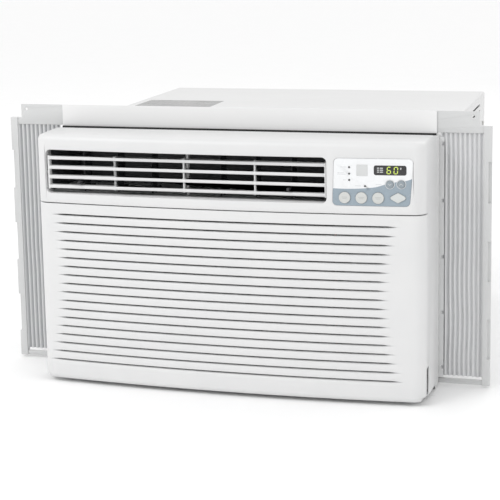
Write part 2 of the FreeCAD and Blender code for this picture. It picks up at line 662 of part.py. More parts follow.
def controls():
    """Panel plate with its lens, receiver window, lights, board and six buttons that press in."""
    proud, thick = value("panel_proud"), value("panel_thick")
    gap = value("button_gap")
    plate = outline_prism(panel_corners(0), value("panel_corner")).common(bow_slab(proud, thick))
    lens = outline_prism(box_corners(246.4, 297.1, 373.4, 388.9), 3.4)
    receiver = outline_prism(box_corners(219.4, 237.1, 371.6, 389.8), 1)
    lights = [(208, 385.4), (208, 375.2), (208, 365.2), (232.8, 355.9)]
    plate = plate.cut(Part.Compound([lens, receiver] + [round_prism(x, z, 1.6) for x, z in lights]))
    outlines = button_outlines()
    for outline in outlines.values():
        plate = plate.cut(outline(gap))
    node(feature("control_panel", plate), "control_panel")
    node(bowed_patch("display_lens", lens, proud - 0.2, thick), "display_lens")
    node(bowed_patch("receiver_window", receiver, proud - 0.1, thick), "receiver_window")
    glow = Part.Compound([round_prism(x, z, 1.6).common(bow_slab(proud + 0.4, thick)) for x, z in lights])
    node(feature("indicator_lights", glow), "indicator_lights")
    for name, outline in outlines.items():
        cap = outline(0).common(bow_slab(value("button_proud"), 6.5))
        middle = cap.Solids[0].CenterOfMass
        stem = Part.makeCylinder(2.4, 6, Vector(middle.x, middle.y + 2, middle.z), Y_AXIS)
        node(feature(name, cap.fuse(stem)), name)
    board = block("control_board", ("188", "301"), ("-110.5", "-109"), ("327", "397"))
    node(board, "control_board")


# --- cooling parts --------------------------------------------------------------------------------

def coil_block(name, x, y, z, rows, columns):
    """Fin pack with end plates and rows of return bends."""
    pack = block(name + "_fins", (f"{x[0]} + 14", f"{x[1]} - 14"), y, z)
    plates = [block(name + "_plate", span, y, z)
              for span in ((f"{x[0]} + 12", f"{x[0]} + 14"), (f"{x[1]} - 14", f"{x[1]} - 12"))]
    bends = []
    for side in (x[0], f"{x[1]} - 12"):
        for column in range(columns):
            for row in range(rows):
                middle_y = f"{y[0]} + (({y[1]}) - ({y[0]})) * {column + 0.5} / {columns}"
                middle_z = f"{z[0]} + (({z[1]}) - ({z[0]})) * {row + 0.5} / {rows}"
                bends.append(block(name + "_bend", (side, f"{side} + 12"),
                                   (f"{middle_y} - 4", f"{middle_y} + 4"),
                                   (f"{middle_z} - 9", f"{middle_z} + 9")))
    node(fuse(name, pack, *plates, *bends), name)


def air_filter():
    """Frame with cross ribs that holds the filter net in front of the evaporator."""
    outer = block("filter_outer", ("coil_left", "coil_right"), ("coil_front - 6", "coil_front - 3"),
                  ("coil_low + 8", "coil_high"))
    windows = []
    for column in range(4):
        for row in range(3):
            left = f"coil_left + 8 + {column} * (coil_right - coil_left - 12) / 4"
            low = f"coil_low + 16 + {row} * (coil_high - coil_low - 20) / 3"
            windows.append(block("filter_window", (left, f"{left} + (coil_right - coil_left - 12) / 4 - 4"),
                                 ("coil_front - 7", "coil_front - 4"),
                                 (low, f"{low} + (coil_high - coil_low - 20) / 3 - 4")))
    node(cut("air_filter", outer, *windows), "air_filter")


def blower():
    """Scroll housing, bladed wheel, shaft and axial fan on one line."""
    box = block("scroll_box", ("fan_x - 124", "fan_x + 128"), ("coil_back + 4", "bulkhead_y"),
                ("fan_z - 128", "outlet_low - 4.5"))
    bore = rod("scroll_bore", Y_AXIS, ("fan_x", "coil_back + 7", "fan_z"), "blower_radius + 16",
               "bulkhead_y - coil_back - 10")
    throat = block("scroll_throat", ("fan_x + 2", "fan_x + 114"), ("coil_back + 7", "bulkhead_y - 3"),
                   ("fan_z", "outlet_low"))
    mouth = rod("scroll_mouth", Y_AXIS, ("fan_x", "coil_back", "fan_z"), "blower_radius - 12", "20")
    shaft_hole = rod("scroll_shaft_hole", Y_AXIS, ("fan_x", "0", "fan_z"), "18", "60")
    node(cut("blower_housing", box, bore, throat, mouth, shaft_hole), "blower_housing")

    centre = Vector(value("fan_x"), 0, value("fan_z"))
    radius = value("blower_radius")
    disc = Part.makeCylinder(radius, 3, centre + Vector(0, 28, 0), Y_AXIS)
    hub = Part.makeCylinder(16, 22, centre + Vector(0, 9, 0), Y_AXIS)
    ring = Part.makeCylinder(radius, 4, centre + Vector(0, -36, 0), Y_AXIS)
    ring = ring.cut(Part.makeCylinder(radius - 16, 6, centre + Vector(0, -37, 0), Y_AXIS))
    blades = []
    for step in range(32):
        blade = Part.makeBox(2, 64, 15, centre + Vector(-1, -35, radius - 15.5))
        blade.rotate(centre + Vector(0, 0, radius - 8), Y_AXIS, 32)
        blade.rotate(centre, Y_AXIS, step * 360 / 32)
        blades.append(blade)
    wheel = disc.fuse([hub, ring] + blades)
    wheel = wheel.cut(Part.makeCylinder(value("shaft_radius"), 200, centre + Vector(0, -100, 0), Y_AXIS))
    node(feature("blower_wheel",
                 wheel.common(Part.makeCylinder(radius + 1, 200, centre - Vector(0, 100, 0), Y_AXIS))),
         "blower_wheel")
    node(rod("fan_shaft", Y_AXIS, ("fan_x", "2", "fan_z"), "shaft_radius", "522"), "fan_shaft")
    bulkhead = cut("bulkhead_plate",
                   block("bulkhead_sheet", ("-pan_half", "pan_half"), ("bulkhead_y", "bulkhead_y + 2"),
                                           ("pan_rim", "cabinet_height - sheet - 0.5")),
                   rod("bulkhead_hole", Y_AXIS, ("fan_x", "bulkhead_y - 1", "fan_z"), "18", "4"))
    node(bulkhead, "bulkhead")


def condenser_fan():
    """Axial fan with a ring that slings water onto the condenser."""
    centre = Vector(value("fan_x"), 500, value("fan_z"))
    radius = value("condenser_fan_radius")
    hub = Part.makeCylinder(34, 26, centre, Y_AXIS)
    parts = []
    for step in range(5):
        blade = Part.makeBox(78, 2.4, radius - 28, centre + Vector(-39, 12, 29))
        blade = blade.common(Part.makeCylinder(radius - 1, 60, centre + Vector(0, -20, 0), Y_AXIS))
        blade.rotate(centre + Vector(0, 13, 80), Z_AXIS, 20)
        blade.rotate(centre, Y_AXIS, step * 72)
        parts.append(blade)
    ring = Part.makeCylinder(radius, 8, centre + Vector(0, 9, 0), Y_AXIS)
    ring = ring.cut(Part.makeCylinder(radius - 4, 10, centre + Vector(0, 8, 0), Y_AXIS))
    fan = hub.fuse(parts + [ring]).cut(Part.makeCylinder(value("shaft_radius"), 80,
                                                         centre - Vector(0, 20, 0), Y_AXIS))
    node(feature("condenser_fan", fan), "condenser_fan")
    outer = block("shroud_outer", ("-pan_half + 3", "pan_half - 3"), ("538", "566"), ("pan_floor + 3", "402"))
    inner = block("shroud_inner", ("-pan_half + 6", "pan_half - 6"), ("541", "567"), ("pan_floor + 6", "399"))
    hole = rod("shroud_hole", Y_AXIS, ("fan_x", "530", "fan_z"), "condenser_fan_radius + 8", "20")
    node(cut("fan_shroud", outer, inner, hole), "fan_shroud")


def motor_and_mount():
    """Fan motor between the two fans, with a cradle that stands on the pan."""
    can = rod("motor_can", Y_AXIS, ("fan_x", "90", "fan_z"), "motor_radius", "100")
    noses = rod("motor_nose", Y_AXIS, ("fan_x", "78", "fan_z"), "22", "124")
    bore = rod("motor_bore", Y_AXIS, ("fan_x", "70", "fan_z"), "shaft_radius + running_gap", "140")
    node(cut("fan_motor", fuse("motor_body", can, noses), bore), "fan_motor")
    stand = block("cradle_block", ("fan_x - 48", "fan_x + 48"), ("118", "164"),
                  ("pan_floor + sheet", "fan_z - 30"))
    hollow = block("cradle_hollow", ("fan_x - 42", "fan_x + 42"), ("110", "170"),
                   ("pan_floor + sheet + 4", "fan_z - 72"))
    seat = rod("cradle_seat", Y_AXIS, ("fan_x", "110", "fan_z"), "motor_radius", "60")
    node(cut("motor_cradle", stand, hollow, seat), "motor_cradle")


def compressor():
    """Welded steel compressor on three rubber mounts, with its accumulator."""
    x, y, radius, low = 190, 240, 74, 40
    profile = [Vector(0, 0, low), Vector(radius - 12, 0, low), Vector(radius, 0, low + 14),
               Vector(radius, 0, low + 178), Vector(radius - 10, 0, low + 200),
               Vector(radius - 34, 0, low + 214),
               Vector(0, 0, low + 220), Vector(0, 0, low)]
    shell = Part.Face(Part.makePolygon(profile)).revolve(Vector(), Z_AXIS, 360)
    foot = Part.makeCylinder(radius + 18, 4, Vector(0, 0, low - 4))
    can = shell.fuse([foot, Part.makeCylinder(14, 14, Vector(30, 0, low + 210))])
    item = feature("compressor", can)
    item.Placement = FreeCAD.Placement(Vector(x, y, 0), FreeCAD.Rotation())
    node(item, "compressor")
    mounts = []
    for step in range(3):
        angle = math.radians(90 + step * 120)
        place = (f"{x + (radius + 6) * math.cos(angle):.2f}", f"{y + (radius + 6) * math.sin(angle):.2f}")
        mounts.append(rod("mount_rubber", Z_AXIS, (*place, "pan_floor + sheet"), "11",
                          f"{low - 4} - pan_floor - sheet"))
    node(group("compressor_mounts", *mounts), "compressor_mounts")
    node(rod("accumulator", Z_AXIS, ("86", "304", "pan_floor + sheet + 20"), "24", "150"), "accumulator")
    node(rod("accumulator_stand", Z_AXIS, ("86", "304", "pan_floor + sheet"), "14", "20"),
         "accumulator_stand")


def bent_tube(points, radius, bend):
    """Round tube through corner points, with an arc at each corner."""
    corners = [Vector(*point) for point in points]
    edges, last = [], corners[0]
    for before, corner, after in zip(corners, corners[1:], corners[2:]):
        way_in, way_out = (before - corner).normalize(), (after - corner).normalize()
        half_angle = way_in.getAngle(way_out) / 2
        run = bend / math.tan(half_angle)
        middle = corner + (way_in + way_out).normalize() * (bend / math.sin(half_angle) - bend)
        start, end = corner + way_in * run, corner + way_out * run
        edges.append(Part.LineSegment(last, start).toShape())
        edges.append(Part.Arc(start, middle, end).toShape())
        last = end
    edges.append(Part.LineSegment(last, corners[-1]).toShape())
    wire = Part.Wire(edges)
    ring = Part.Wire(Part.Circle(corners[0], corners[1] - corners[0], radius).toShape())
    return wire.makePipeShell([ring], True, True)


def refrigerant_pipes():
    """Copper lines: discharge to the condenser, suction from the evaporator, line between the coils."""
    runs = [
        ([(220, 240, 264.2), (220, 240, 330), (220, 480, 330), (314, 480, 330), (314, 590, 330),
          (292.2, 590, 330)],
         4.5, 18),
        ([(86, 304, 190.2), (86, 304, 300), (150, 304, 300), (150, 60, 300), (186, 60, 300), (186, 60, 150)],
         5.5, 16),
        ([(292.2, 590, 80), (316, 590, 80), (316, 62, 80), (270, 62, 80)], 3, 14),
    ]
    node(feature("refrigerant_pipes", Part.Compound([bent_tube(*run) for run in runs])), "refrigerant_pipes")


def electrics():
    """Sheet box for the wiring beside the evaporator, and the motor capacitor."""
    outer = block("electrical_outer", ("200", "316"), ("-84", "34"), ("66", "312"))
    inner = block("electrical_inner", ("202", "314"), ("-82", "35"), ("68", "310"))
    node(cut("electrical_box", outer, inner), "electrical_box")
    node(rod("capacitor", Z_AXIS, ("258", "0", "68"), "22", "100"), "capacitor")


def screw_heads():
    """Pan-head screws round the rear guard and along the top rail's foot."""
    rear = []
    for column in (-1, 0, 1):
        for z in ("12", "cabinet_height - 12"):
            rear.append(rod("rear_screw", Y_AXIS, (f"({column}) * 300", "cabinet_rear + sheet", z), "4.5",
                            "2.4"))
    node(group("rear_screws", *rear), "rear_screws")
    side = []
    for sign, start in ((-1, "-cabinet_width / 2 - 2.2"), (1, "cabinet_width / 2")):
        for y, z in (("600", "60"), ("600", "360")):
            side.append(rod("side_screw", X_AXIS, (start, y, z), "4.5", "2.2"))
    node(group("side_screws", *side), "side_screws")


def build():
    outer_cabinet()
    rear_grille()
    base_pan()
    window_rails()
    for side, name, reach in ((-1, "left", "left_reach"), (1, "right", "right_reach")):
        side_retainer(side, name + "_side_retainer")
        curtain_frame(side, name + "_curtain_frame", reach)
        curtain(side, name + "_curtain", reach)
    front_moulding()
    outlet_parts()
    places = vane_places()
    for number, place in enumerate(places, start=1):
        vane(number, place)
    vane_link("left_vane_link", places[:3])
    vane_link("right_vane_link", places[3:])
    deflector()
    controls()
    coil_block("evaporator_coil", ("coil_left", "coil_right"), ("coil_front", "coil_back"),
               ("coil_low", "coil_high"),
               8, 2)
    coil_block("condenser_coil", ("-292", "292"), ("570", "612"), ("24", "398"), 10, 2)
    air_filter()
    blower()
    condenser_fan()
    motor_and_mount()
    compressor()
    refrigerant_pipes()
    electrics()
    screw_heads()


def check_and_export():
    """Every object must have recomputed cleanly and every sub-part must be a valid solid."""
    doc.recompute()
    for item in doc.Objects:
        if any(state in ("Invalid", "Error") for state in item.State):
            raise ValueError(f"{item.Label} failed: {item.State}")
    os.makedirs("parts", exist_ok=True)
    for label, item in NODES.items():
        shape = item.Shape
        if shape.isNull() or not shape.isValid() or not shape.Solids:
            raise ValueError(f"{label}: no valid solid")
        shape.exportStep(f"parts/{label}.step")
        box = shape.BoundBox
        print(f"{label:22s} {len(shape.Solids):2d} solid(s) {shape.Volume / 1000:9.1f} cm3  "
              f"x {box.XMin:7.1f} {box.XMax:7.1f}  y {box.YMin:7.1f} {box.YMax:7.1f}  "
              f"z {box.ZMin:6.1f} {box.ZMax:6.1f}")
    print(len(NODES), "sub-parts")


build()
check_and_export()
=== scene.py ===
# %% [markdown]
# Window air conditioner
#
# This lesson dresses a room air conditioner that stands in a sash window. Its metal cabinet goes through
# the wall opening, its bowed white front faces the room, and two pleated curtains close the gap on either
# side. The measured model comes in as a fixed frame of named bodies. Each step below gives one piece its
# shape or finish.

# %% Load the frame
import json
import math

import bmesh
import bpy
import numpy as np
from mathutils import Matrix, Vector

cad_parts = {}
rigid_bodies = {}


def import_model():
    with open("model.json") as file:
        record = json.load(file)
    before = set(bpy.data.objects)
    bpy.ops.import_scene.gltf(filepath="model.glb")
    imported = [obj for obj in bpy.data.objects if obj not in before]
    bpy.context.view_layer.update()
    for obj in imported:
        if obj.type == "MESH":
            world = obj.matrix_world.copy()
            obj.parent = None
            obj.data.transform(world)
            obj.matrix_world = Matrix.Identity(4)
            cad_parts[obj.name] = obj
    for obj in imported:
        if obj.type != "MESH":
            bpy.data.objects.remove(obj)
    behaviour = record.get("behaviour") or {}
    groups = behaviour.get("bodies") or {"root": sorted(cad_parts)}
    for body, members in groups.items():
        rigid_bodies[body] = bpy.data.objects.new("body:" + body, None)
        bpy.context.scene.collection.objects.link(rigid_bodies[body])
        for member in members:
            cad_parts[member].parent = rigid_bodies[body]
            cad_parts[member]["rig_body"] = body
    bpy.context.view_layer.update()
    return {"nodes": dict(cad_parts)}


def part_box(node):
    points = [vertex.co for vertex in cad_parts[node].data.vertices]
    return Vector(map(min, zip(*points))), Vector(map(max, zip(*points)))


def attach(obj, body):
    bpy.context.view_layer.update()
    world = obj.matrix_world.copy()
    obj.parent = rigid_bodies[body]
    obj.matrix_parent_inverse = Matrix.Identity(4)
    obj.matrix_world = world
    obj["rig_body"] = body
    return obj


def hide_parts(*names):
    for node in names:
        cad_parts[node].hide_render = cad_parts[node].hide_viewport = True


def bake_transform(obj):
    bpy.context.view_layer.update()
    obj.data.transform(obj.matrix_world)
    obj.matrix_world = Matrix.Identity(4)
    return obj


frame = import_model()
nodes = frame["nodes"]
MM = 0.001

# %% [markdown]
# The camera stands a little to the right of the unit and looks slightly down on it, through a long lens, so
# that the upright edges stay nearly parallel. Its direction is given by three angles, because they are easy
# to adjust: the turn to the side, the look down and a trace of roll. The lens is shifted a little so that
# the unit sits in the middle of the frame.

# %% Camera
scene = bpy.context.scene
SIDE_TURN, LOOK_DOWN, ROLL = (math.radians(angle) for angle in (15.96, 9.51, -1.06))
CAMERA_PLACE = (0.659, -2.266, 0.749)
LENS_MM, LENS_SHIFT = 102.2, -0.16

level = Vector((math.cos(SIDE_TURN), math.sin(SIDE_TURN), 0))
straight = Vector((-math.sin(SIDE_TURN), math.cos(SIDE_TURN), 0))
ahead = straight * math.cos(LOOK_DOWN) - Vector((0, 0, math.sin(LOOK_DOWN)))
above = level.cross(ahead)
rightward = level * math.cos(ROLL) + above * math.sin(ROLL)
upward = above * math.cos(ROLL) - level * math.sin(ROLL)
camera = bpy.data.objects.new("camera", bpy.data.cameras.new("camera"))
turned = Matrix((rightward, upward, -ahead)).transposed().to_4x4()
camera.matrix_world = Matrix.Translation(CAMERA_PLACE) @ turned
camera.data.lens = LENS_MM
camera.data.shift_y = LENS_SHIFT
scene.collection.objects.link(camera)
scene.camera = camera
print("camera looks along", [round(x, 3) for x in ahead])

# %% [markdown]
# The light is that of a studio with white walls: an even white surround, one very wide lamp high on the
# left, a weak one on the right and one at the back. Wide lamps give soft edges to the shadows under each
# slat, which is what makes white plastic readable on a white ground.

# %% Light
MIDDLE = (0, 0.1, 0.22)


def wide_lamp(name, place, size, power):
    """A round lamp, its width in metres and its power in watts, aimed at the middle of the unit."""
    lamp = bpy.data.objects.new(name, bpy.data.lights.new(name, "AREA"))
    lamp.data.shape = "DISK"
    lamp.data.size = size
    lamp.data.energy = power
    aim = (Vector(MIDDLE) - Vector(place)).to_track_quat("-Z", "Y")
    lamp.matrix_world = Matrix.Translation(place) @ aim.to_matrix().to_4x4()
    scene.collection.objects.link(lamp)


world = bpy.data.worlds.new("white_studio")
scene.world = world
world.use_nodes = True
surround = world.node_tree.nodes["Background"].inputs
surround["Color"].default_value = (1, 1, 1, 1)
surround["Strength"].default_value = 1.0
wide_lamp("key_lamp", (-1.4, -1.9, 2.6), 1.5, 26)
wide_lamp("fill_lamp", (2.2, -1.6, 1.3), 1.8, 3)
wide_lamp("rear_lamp", (0.8, 3.0, 2.2), 1.8, 10)
scene.view_settings.view_transform = "Standard"

# %% [markdown]
# Shader and geometry trees are both built from nodes, so a few small helpers serve both. One adds a node,
# sets its properties and fills its inputs, either with a value or with a link from another node's output.
# The others name the steps that come back in every tree, so that each tree below reads as a list of steps.

# %% Node helpers
SOCKET = bpy.types.NodeSocket
SOCKET_KINDS = {float: "NodeSocketFloat", int: "NodeSocketInt", tuple: "NodeSocketVector"}


def add(tree, kind, inputs=None, **settings):
    """Adds a node; inputs are given by name or number, as values or as sockets to link from."""
    made = tree.nodes.new(kind)
    for key, setting in settings.items():
        setattr(made, key, setting)
    for key, given in (inputs or {}).items():
        if isinstance(given, SOCKET):
            tree.links.new(given, made.inputs[key])
        else:
            made.inputs[key].default_value = given
    return made


def result(tree, kind, inputs=None, which=0, **settings):
    """Adds a node and returns one of its outputs."""
    return add(tree, kind, inputs, **settings).outputs[which]


def connect(source, target):
    source.id_data.links.new(source, target)


def tree_of(*given):
    """The tree that the sockets among some values belong to."""
    return next(value.id_data for value in given if isinstance(value, SOCKET))


def named_inputs(tree, inputs):
    """Gives a tree an input for each name, of the kind of its start value."""
    for label, start in inputs.items():
        made = tree.interface.new_socket(label, in_out="INPUT", socket_type=SOCKET_KINDS[type(start)])
        made.default_value = start


# %% Helpers for sums
def maths(operation, *given):
    return result(tree_of(*given), "ShaderNodeMath", dict(enumerate(given)), operation=operation)


def plus(one, other):
    return maths("ADD", one, other)


def minus(one, other):
    return maths("SUBTRACT", one, other)


def times(one, other):
    return maths("MULTIPLY", one, other)


def over(one, other):
    return maths("DIVIDE", one, other)


def vector(x=0.0, y=0.0, z=0.0):
    return result(tree_of(x, y, z), "ShaderNodeCombineXYZ", {0: x, 1: y, 2: z})


def vector_maths(operation, one, other):
    return result(one.id_data, "ShaderNodeVectorMath", {0: one, 1: other}, operation=operation)


def split(place):
    """The three numbers of a vector."""
    return add(place.id_data, "ShaderNodeSeparateXYZ", {0: place}).outputs


def ramp(value, low, high, to_low=0.0, to_high=1.0, **settings):
    """Maps a value range to another, clamped."""
    limits = {0: value, 1: low, 2: high, 3: to_low, 4: to_high}
    return result(value.id_data, "ShaderNodeMapRange", limits, **settings)


print("node helpers ready")

# %% [markdown]
# Shaders need a few steps more: a mix of two colours, the place on the piece, and soft noise that stays on
# the piece when it moves. An effect that several materials share becomes a group with named inputs.

# %% Shader helpers
def blend_colours(factor, first, second):
    """Mixes two colours by a factor and returns the mixed colour."""
    inputs = {0: factor}
    for number, colour in ((6, first), (7, second)):
        inputs[number] = colour if isinstance(colour, SOCKET) else (*colour, 1)
    return result(factor.id_data, "ShaderNodeMix", inputs, 2, data_type="RGBA")


def place_on(tree):
    return result(tree, "ShaderNodeTexCoord", which="Object")


def facing_up(tree):
    return split(result(tree, "ShaderNodeNewGeometry", which="Normal"))["Z"]


def clouds(tree, size, detail, seed=None):
    """Soft noise of a given size on the piece, with a seed where each material has its own."""
    inputs = {"Vector": place_on(tree), "Scale": over(1.0, size), "Detail": detail}
    if seed is None:
        return result(tree, "ShaderNodeTexNoise", inputs, "Fac")
    return result(tree, "ShaderNodeTexNoise", {**inputs, "W": seed}, "Fac", noise_dimensions="4D")


def shader_group(name, inputs, outputs):
    """A shader node group with named inputs and their start values, and named numbers as outputs."""
    tree = bpy.data.node_groups.new(name, "ShaderNodeTree")
    named_inputs(tree, inputs)
    for label in outputs:
        tree.interface.new_socket(label, in_out="OUTPUT", socket_type="NodeSocketFloat")
    print("group", name)
    return tree, add(tree, "NodeGroupInput").outputs, add(tree, "NodeGroupOutput").inputs


def use_group(tree, group, inputs=None):
    return add(tree, "ShaderNodeGroup", inputs, node_tree=group).outputs


print("shader helpers ready")

# %% [markdown]
# Moulded plastic is never one flat colour. Its skin has a fine spark-eroded grain copied from the mould,
# the gloss drifts where the melt cooled at different speeds, and the colour drifts a little too. One group
# makes all three from noise at three sizes. The grain is a height for a bump, since it is far too fine to
# model.

# %% Moulded grain group
moulded_grain, given, gives = shader_group(
    "moulded_grain", {"Grain Size": 0.0007, "Drift Size": 0.09, "Seed": 0.0}, ("Height", "Tone", "Gloss"))
for label, size, detail in (("Height", given["Grain Size"], 3.0), ("Tone", given["Drift Size"], 2.0),
                            ("Gloss", times(given["Drift Size"], 0.22), 4.0)):
    connect(ramp(clouds(moulded_grain, size, detail, given["Seed"]), 0.3, 0.7), gives[label])

# %% [markdown]
# Handling polishes the corners of a part and dust settles on whatever faces up. Both need the surface
# itself: the edges are found from how sharply it bends, and the dust from how far it faces upwards, broken
# up by noise so that neither is even.

# %% Rubbed edges and dust groups
rubbed_edges, given, gives = shader_group("rubbed_edges", {"Strength": 0.5, "Patch Size": 0.03}, ("Mask",))
bend = result(rubbed_edges, "ShaderNodeNewGeometry", which="Pointiness")
worn = times(ramp(bend, 0.52, 0.62), ramp(clouds(rubbed_edges, given["Patch Size"], 4.0), 0.4, 0.65))
connect(times(worn, given["Strength"]), gives["Mask"])

settled_dust, given, gives = shader_group("settled_dust", {"Amount": 0.15, "Patch Size": 0.05}, ("Mask",))
patches = ramp(clouds(settled_dust, given["Patch Size"], 6.0), 0.35, 0.75)
lying = times(ramp(facing_up(settled_dust), 0.1, 1.0), patches)
connect(times(lying, given["Amount"]), gives["Mask"])

# %% [markdown]
# Metal shows how it was made. Rolled and brushed sheet has fine lines along one direction, and zinc cools
# into flat crystals of slightly different grey. The first is noise stretched along an axis, the second is a
# cell pattern with one random tone for each cell.

# %% Metal groups
brushed_lines, given, gives = shader_group(
    "brushed_lines", {"Stretch": (40.0, 1500.0, 1500.0)}, ("Height", "Tone"))
stretched = vector_maths("MULTIPLY", place_on(brushed_lines), given["Stretch"])
lines = result(brushed_lines, "ShaderNodeTexNoise", {"Vector": stretched, "Scale": 1.0, "Detail": 3.0}, "Fac")
connect(lines, gives["Height"])
connect(ramp(lines, 0.35, 0.65), gives["Tone"])

zinc_spangle, given, gives = shader_group("zinc_spangle", {"Crystal Size": 0.009}, ("Tone",))
cells = result(zinc_spangle, "ShaderNodeTexVoronoi", {
    "Vector": place_on(zinc_spangle), "Scale": over(1.0, given["Crystal Size"])}, "Color")
connect(result(zinc_spangle, "ShaderNodeSeparateColor", {0: cells}), gives["Tone"])

# %% [markdown]
# Every finish starts from one recipe: a main colour, a second colour that the slow drift leads to, a range
# of roughness, a grain, worn edges and a little dust. The values that are the same all over, such as coat
# and specular level, sit on the shader itself. What changes over the surface comes from the groups.

# %% Recipe for a finish
DUST_COLOUR = (0.55, 0.53, 0.50)
DUST_ROUGHNESS, SPANGLE_SHADE, BUMP_STRENGTH = 0.4, 0.55, 0.6
finishes = {}


def finish(name, colour, drift, rough, grain=0.0007, depth=0.00004, edge=None, dust=0.04, metal=0.0, coat=0.0,
           specular=0.5, lines=None, spangle=0.0, seed=0.0, drift_size=0.09):
    """Makes a material and returns the source of its colour and the inputs of its shader."""
    material = bpy.data.materials.new(name)
    material.use_nodes = True
    tree = material.node_tree
    shader = tree.nodes["Principled BSDF"].inputs
    shader["Metallic"].default_value = metal
    shader["Coat Weight"].default_value = coat
    shader["Specular IOR Level"].default_value = specular
    skin = use_group(tree, moulded_grain, {"Grain Size": grain, "Drift Size": drift_size, "Seed": seed})
    tone, height = skin["Tone"], skin["Height"]
    if lines:
        drawn = use_group(tree, brushed_lines, {"Stretch": lines})
        height = drawn["Height"]
        tone = times(plus(tone, drawn["Tone"]), 0.5)
    base = blend_colours(tone, colour, drift)
    if spangle:
        share = times(use_group(tree, zinc_spangle)["Tone"], spangle)
        base = blend_colours(share, base, [part * SPANGLE_SHADE for part in colour])
    if edge:
        base = blend_colours(use_group(tree, rubbed_edges)["Mask"], base, edge)
    fallen = use_group(tree, settled_dust, {"Amount": dust})["Mask"]
    base = blend_colours(fallen, base, DUST_COLOUR)
    connect(base, shader["Base Color"])
    gloss = ramp(skin["Gloss"], 0.0, 1.0, *rough)
    connect(plus(gloss, times(fallen, DUST_ROUGHNESS)), shader["Roughness"])
    bump = result(tree, "ShaderNodeBump", {"Height": height, "Strength": BUMP_STRENGTH, "Distance": depth})
    connect(bump, shader["Normal"])
    finishes[name] = material
    return base, shader


print("recipe ready")

# %% [markdown]
# The finishes of the unit, by material slot. The front is fine matt moulded white with a faint cool drift;
# the cabinet is satin baked enamel with a little orange peel, which is a coarser, shallower grain. Inside
# are galvanised sheet, brushed steel, aluminium fins, copper, black enamel and black rubber.

# %% Plain finishes
finish("front_plastic", (0.70, 0.70, 0.70), (0.675, 0.678, 0.68), (0.36, 0.44), depth=0.00003, dust=0.01)
for name, tone in (("cabinet_paint", 0.67), ("rail_paint", 0.78)):
    finish(name, (tone, tone, tone * 0.997), (tone - 0.01,) * 3, (0.38, 0.42), grain=0.0012, depth=0.00001,
           dust=0.02, coat=0.1, seed=2.0, drift_size=0.3)
finish("curtain_plastic", (0.60, 0.605, 0.605), (0.575, 0.58, 0.58), (0.38, 0.5), grain=0.0012, depth=0.00003,
       dust=0.02, seed=3.0)
finish("galvanised_steel", (0.60, 0.61, 0.62), (0.50, 0.51, 0.52), (0.34, 0.55), grain=0.003, depth=0.00003,
       metal=0.9, spangle=0.5, dust=0.1, seed=4.0)
DARK, DARK_DRIFT = (0.066, 0.068, 0.073), (0.082, 0.084, 0.090)
finish("dark_plastic", DARK, DARK_DRIFT, (0.42, 0.56), edge=(0.12, 0.12, 0.125), dust=0.02, seed=5.0)
finish("receiver_grey", (0.62, 0.63, 0.63), (0.58, 0.59, 0.59), (0.16, 0.24), depth=0.00001, coat=0.5,
       dust=0.0, seed=6.0)
finish("filter_net", (0.030, 0.033, 0.036), (0.045, 0.048, 0.050), (0.6, 0.75), dust=0.25, seed=7.0)
finish("coil_aluminium", (0.62, 0.63, 0.64), (0.50, 0.51, 0.52), (0.3, 0.45), metal=0.85,
       lines=(1500.0, 1500.0, 30.0), dust=0.12, seed=8.0)
finish("copper", (0.62, 0.30, 0.17), (0.42, 0.20, 0.13), (0.28, 0.5), grain=0.002, metal=0.95, dust=0.08,
       drift_size=0.03, seed=9.0)
finish("compressor_black", (0.018, 0.018, 0.020), (0.028, 0.028, 0.030), (0.25, 0.4), grain=0.004,
       depth=0.00008, edge=(0.1, 0.1, 0.1), dust=0.15, coat=0.3, seed=10.0)
finish("motor_steel", (0.50, 0.51, 0.52), (0.40, 0.41, 0.42), (0.28, 0.42), metal=0.95,
       lines=(1400.0, 40.0, 1400.0), dust=0.08, seed=11.0)
finish("fan_plastic", (0.025, 0.025, 0.028), (0.035, 0.035, 0.038), (0.4, 0.55), edge=(0.07, 0.07, 0.075),
       dust=0.12, seed=12.0)
finish("rubber_black", (0.018, 0.018, 0.018), (0.028, 0.028, 0.028), (0.65, 0.8), grain=0.0015,
       depth=0.00008, dust=0.1, specular=0.3, seed=13.0)
finish("foam_white", (0.76, 0.76, 0.74), (0.68, 0.68, 0.66), (0.7, 0.85), grain=0.004, depth=0.0003,
       dust=0.1, seed=14.0)
finish("board_green", (0.020, 0.12, 0.055), (0.030, 0.16, 0.075), (0.25, 0.4), coat=0.4, dust=0.05, seed=15.0)
finish("screw_zinc", (0.62, 0.62, 0.60), (0.50, 0.50, 0.47), (0.25, 0.4), metal=0.95,
       edge=(0.75, 0.75, 0.74), dust=0.05, drift_size=0.01, seed=16.0)
print("finishes:", len(finishes))

# %% [markdown]
# Some finishes carry printing or colour by place. The control panel is a white label with a blue-grey field
# under a long wave. A float curve holds the wave as a few named points, so the border stays sharp at any
# distance. Rings and short bars stand for the printed marks, with no lettering.

# %% Print groups
ring_print, given, gives = shader_group(
    "ring_print", {"Middle X": 0.0, "Middle Z": 0.0, "Radius": 0.006, "Width": 0.0005}, ("Mask",))
x, _, z = split(place_on(ring_print))
across = minus(x, given["Middle X"])
along = minus(z, given["Middle Z"])
radius = maths("SQRT", plus(times(across, across), times(along, along)))
off_line = maths("ABSOLUTE", minus(radius, given["Radius"]))
connect(ramp(over(off_line, given["Width"]), 0.8, 1.2, 1.0, 0.0), gives["Mask"])

bar_print, given, gives = shader_group(
    "bar_print", {"Middle X": 0.0, "Middle Z": 0.0, "Half Length": 0.004, "Half Height": 0.0006}, ("Mask",))
x, _, z = split(place_on(bar_print))
inside = [maths("LESS_THAN", maths("ABSOLUTE", minus(place, given[middle])), given[half])
          for place, middle, half in ((x, "Middle X", "Half Length"), (z, "Middle Z", "Half Height"))]
connect(times(*inside), gives["Mask"])


